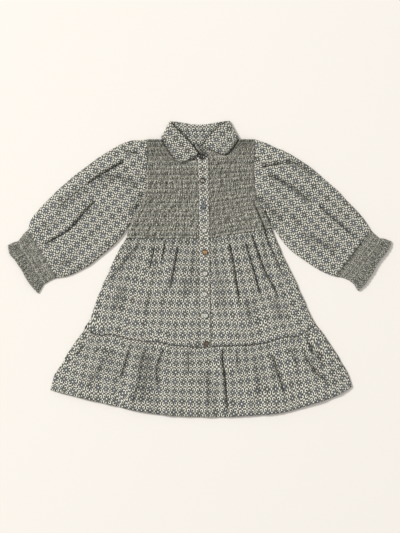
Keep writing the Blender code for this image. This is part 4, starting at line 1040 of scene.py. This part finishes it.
def make_collar():
    """The turned-down fall and the stand under it."""
    sections = [collar_section(row) for row in COLLAR_LEFT + COLLAR_RIGHT]
    for name, node, which, flat in (("collar_fall_cloth", "collar_fall", 0, (0.33, 0.055, 0.0135)),
                                    ("collar_stand_cloth", "collar_stand", 1, (0.30, 0.03, 0.0075))):
        grid = np.array([s[which] for s in sections], float)
        grid[..., 2] = np.where(grid[..., 2] > 5.2, grid[..., 2] + 1.0, grid[..., 2])
        fine = upsampled(grid, 5, 4)
        run_u = np.cumsum(np.concatenate([[0], np.linalg.norm(np.diff(fine, axis=0), axis=-1).mean(1)]))
        steps = np.linalg.norm(np.diff(fine, axis=1), axis=-1)
        run_v = np.concatenate([np.zeros((len(fine), 1)), np.cumsum(steps, 1)], 1)
        cells = np.stack(np.broadcast_arrays(run_u[:, None] / CELL_W, run_v / CELL_H), -1) * 1.07
        deep = collar_shade(fine)
        # Painted shade along the outer edge of the fall
        if which == 0:
            deep[:, -2:] = np.maximum(deep[:, -2:], 0.5)
        edge = run_v[:, -1:] - run_v - 2.6 if which == 0 else None
        obj = new_sheet(name, fine, {"cells": cells, "shade_and_seam": shade_map(deep, edge)}, thick=0.9, offset=0.0)
        placed(obj, MAT_PRINT, [node])


def make_placket():
    """The buttoned strip, a folded band with rounded edges."""
    y_low = float(np.interp(13, SEAM_CURVE[:, 0], SEAM_CURVE[:, 1]))
    us = np.concatenate([[0, 0.02, 0.05, 0.09], np.linspace(0.13, 0.87, 15), [0.91, 0.95, 0.98, 1]])
    vs = span(380, 2.0)
    left, right = strip_edge(1, PLACKET_TOP, y_low, 0.1), strip_edge(2, PLACKET_TOP, y_low, -0.1)
    edges = (line(*left(0.0), *right(0.0)), seam_run(3, 23), left, right)
    xy = patch(*edges, us, vs)
    near = np.minimum(us, 1 - us)[None, :] * 21
    z = 5.4 + 1.0 * rounded(near, 1.2) + 0.22 * waves(xy[..., 0], xy[..., 1], 13, 80)
    z = z - 0.18 * np.exp(-((near - 2.2) / 0.6) ** 2)
    cells = cells_map(us, vs, 21, 380, (0.5, 0.15))
    stitched = shade_map(z * 0, near - 2.2)
    obj = new_sheet("placket_cloth", over(xy, z), {"cells": cells, "shade_and_seam": stitched}, thick=1.0)
    placed(obj, MAT_PLACKET, ["placket"])


# Colour of each look from the dish out to the rim. The looks differ partly as shell does and partly as painted light:
# the pale dishes are painted highlight and the dark rims painted shade
BUTTON_LOOKS = {
    # Button 1: near black all over, painted shade under the collar's tip
    "button_painted_shade": [(0.0, (0.05, 0.04, 0.03)), (0.5, (0.012, 0.009, 0.007)), (1.0, (0.006, 0.005, 0.004))],
    # Button 9: a darker brown than gold, its own brownish tone with painted shade
    "button_brown_painted_shade": [(0.0, (0.16, 0.10, 0.055)), (0.5, (0.09, 0.055, 0.03)), (1.0, (0.04, 0.03, 0.02))],
    "button_dark": [(0.0, (0.62, 0.58, 0.50)), (0.38, (0.40, 0.35, 0.27)), (0.6, (0.03, 0.02, 0.014)),
                    (1.0, (0.008, 0.006, 0.004))],
    "button_slate": [(0.0, (0.20, 0.21, 0.22)), (0.6, (0.13, 0.14, 0.15)), (1.0, (0.05, 0.055, 0.06))],
    "button_gold": [(0.0, (0.66, 0.38, 0.14)), (0.45, (0.48, 0.26, 0.09)), (0.68, (0.12, 0.07, 0.03)),
                    (1.0, (0.05, 0.035, 0.02))],
    "button_pale": [(0.0, (0.80, 0.78, 0.70)), (0.55, (0.66, 0.64, 0.57)), (0.75, (0.28, 0.275, 0.25)),
                    (1.0, (0.16, 0.16, 0.145))],
}


def button_material(slot):
    """Shell or horn, and cloudy: paler in its dish than on its rim, partly the shell's own tone, partly a painted
    highlight in the dish and painted shade on the rim.
    """
    web = Web(slot)
    node = web.tree.nodes.new("ShaderNodeTexCoord")
    where = node.outputs["Object"]
    streak = web.noise(where, 420.0, 3.0, 0.6)
    cloud = web.noise(where, 160.0, 2.0, 0.5)
    x, y = web.split(where)
    radius = web.mul(web.length(x, y), 1000 / 5.7)
    mixed = web.math("MULTIPLY_ADD", web.sub(web.add(streak, cloud), 1.0), 0.7, radius, clamp=True)
    web.link(web.ramp(mixed, BUTTON_LOOKS[slot]), web.shader.inputs["Base Color"])
    web.link(web.math("MULTIPLY_ADD", streak, 0.15, 0.12), web.shader.inputs["Roughness"])
    web.shader.inputs["Coat Weight"].default_value = 0.4
    web.shader.inputs["Coat Roughness"].default_value = 0.08
    web.link(web.bump(streak, 0.1, 0.0002), web.shader.inputs["Normal"])
    return web.mat


def make_buttons():
    """Turned discs with a raised rim and a dished middle, sewn on with crossed thread."""
    section = [(0.0, 0.0), (4.6, 0.0), (5.4, 0.4), (5.7, 1.0), (5.55, 1.6), (5.1, 1.95), (4.5, 2.0),
               (4.0, 1.75), (3.5, 1.45), (2.9, 1.35), (1.6, 1.33), (0.0, 1.33)]
    looks = {name: button_material(name) for name in BUTTON_LOOKS}
    thread = thread_material()
    sides = 40
    for number, (x, y, z, slot) in enumerate(BUTTONS, 1):
        bm = bmesh.new()
        loops = []
        for radius, height in section:
            if radius == 0:
                loops.append([bm.verts.new((0, 0, height * MM))])
                continue
            loops.append([bm.verts.new((radius * math.cos(2 * math.pi * k / sides) * MM,
                                        radius * math.sin(2 * math.pi * k / sides) * MM,
                                        height * MM)) for k in range(sides)])
        for low, high in zip(loops, loops[1:]):
            for k in range(sides):
                k2 = (k + 1) % sides
                if len(low) == 1:
                    bm.faces.new((low[0], high[k2], high[k]))
                elif len(high) == 1:
                    bm.faces.new((low[k], low[k2], high[0]))
                else:
                    bm.faces.new((low[k], low[k2], high[k2], high[k]))
        bmesh.ops.recalc_face_normals(bm, faces=bm.faces[:])
        mesh = bpy.data.meshes.new(f"button_{number}_disc")
        bm.to_mesh(mesh)
        bm.free()
        mesh.polygons.foreach_set("use_smooth", np.ones(len(mesh.polygons), bool))
        obj = bpy.data.objects.new(f"button_{number}_disc", mesh)
        obj.location = [(v + c) * MM for v, c in zip((x, y, z), CENTRE)]
        bpy.context.scene.collection.objects.link(obj)
        # Buttons 1 and 9 take darker looks with painted shade
        look = {1: "button_painted_shade", 9: "button_brown_painted_shade"}.get(number, slot)
        placed(obj, looks[look], [f"button_{number}"])
        sew_button(number, x, y, z + 1.33, thread)


def thread_material():
    web = Web("thread")
    node = web.tree.nodes.new("ShaderNodeTexCoord")
    twist = web.noise(node.outputs["Object"], 2600.0, 1.0, 0.5)
    web.link(web.mix(twist, (0.10, 0.10, 0.09), (0.30, 0.29, 0.26)), web.shader.inputs["Base Color"])
    web.link(web.bump(twist, 0.4, 0.0001), web.shader.inputs["Normal"])
    web.shader.inputs["Roughness"].default_value = 0.8
    return web.mat


def sew_button(number, x, y, z, mat):
    """Two crossed runs of thread over the middle of a button."""
    bm = bmesh.new()
    for turn in (0.25 * math.pi, 0.75 * math.pi):
        for shift in (-0.22, 0.22):
            ring = []
            for k in range(9):
                t = -1 + k / 4
                cx = 1.5 * t * math.cos(turn) - shift * math.sin(turn)
                cy = 1.5 * t * math.sin(turn) + shift * math.cos(turn)
                cz = 0.28 * (1 - t * t) + (0.12 if turn > 1 else 0) * (1 - t * t) - 0.05
                ring.append([bm.verts.new(((cx - math.sin(turn) * 0.2 * math.cos(a)) * MM,
                                           (cy + math.cos(turn) * 0.2 * math.cos(a)) * MM,
                                           (cz + 0.2 * math.sin(a)) * MM))
                             for a in np.linspace(0, 2 * math.pi, 7)[:-1]])
            for a, b in zip(ring, ring[1:]):
                for k in range(6):
                    bm.faces.new((a[k], a[(k + 1) % 6], b[(k + 1) % 6], b[k]))
            bm.faces.new(ring[0])
            bm.faces.new(ring[-1])
    bmesh.ops.recalc_face_normals(bm, faces=bm.faces[:])
    mesh = bpy.data.meshes.new(f"button_{number}_thread")
    bm.to_mesh(mesh)
    bm.free()
    obj = bpy.data.objects.new(f"button_{number}_thread", mesh)
    obj.location = [(v + c) * MM for v, c in zip((x, y, z), CENTRE)]
    bpy.context.scene.collection.objects.link(obj)
    placed(obj, mat, [])


def make_stage():
    """Plain pale floor, soft light from the upper left, and the camera."""
    mesh = bpy.data.meshes.new("floor")
    half = 3.0
    mesh.from_pydata([(-half, -half, 0), (half, -half, 0), (half, half, 0), (-half, half, 0)], [],
                     [(0, 1, 2, 3)])
    floor = bpy.data.objects.new("floor", mesh)
    floor.location = (0, 0, -0.0002)
    bpy.context.scene.collection.objects.link(floor)
    web = Web("floor")
    node = web.tree.nodes.new("ShaderNodeTexCoord")
    speck = web.noise(node.outputs["Object"], 3.0, 2.0, 0.5)
    web.link(web.mix(speck, (0.9, 0.857, 0.8), (0.91, 0.867, 0.81)), web.shader.inputs["Base Color"])
    web.shader.inputs["Roughness"].default_value = 0.9
    web.shader.inputs["Specular IOR Level"].default_value = 0.1
    mesh.materials.append(web.mat)

    bpy.context.scene.view_settings.view_transform = "Standard"
    world = bpy.data.worlds.new("studio")
    bpy.context.scene.world = world
    world.use_nodes = True
    world.node_tree.nodes["Background"].inputs[0].default_value = (1.0, 0.99, 0.97, 1.0)
    world.node_tree.nodes["Background"].inputs[1].default_value = 0.575

    def lamp(name, place, size, watts, colour=(1, 1, 1)):
        data = bpy.data.lights.new(name, "AREA")
        data.shape = "DISK"
        data.size = size
        data.energy = watts
        data.color = colour
        obj = bpy.data.objects.new(name, data)
        obj.location = place
        direction = -np.array(place)
        obj.rotation_euler = (0, 0, 0)
        from mathutils import Vector
        obj.rotation_euler = Vector(direction).to_track_quat("-Z", "Y").to_euler()
        bpy.context.scene.collection.objects.link(obj)

    lamp("key", (-10.8, 6.4, 8.4), 3.2, 2000)

    camera = bpy.data.cameras.new("camera")
    camera.sensor_width = 36
    camera.lens = 36 * CAMERA_HEIGHT / VIEW_SIDE
    camera.clip_start = 0.05
    camera.clip_end = 20
    obj = bpy.data.objects.new("camera", camera)
    obj.location = (CAMERA_X, CAMERA_Y, CAMERA_HEIGHT)
    bpy.context.scene.collection.objects.link(obj)
    bpy.context.scene.camera = obj


make_backs()
make_skirt()
make_bodice()
make_sleeves()
make_placket()
make_collar()
make_buttons()
make_stage()
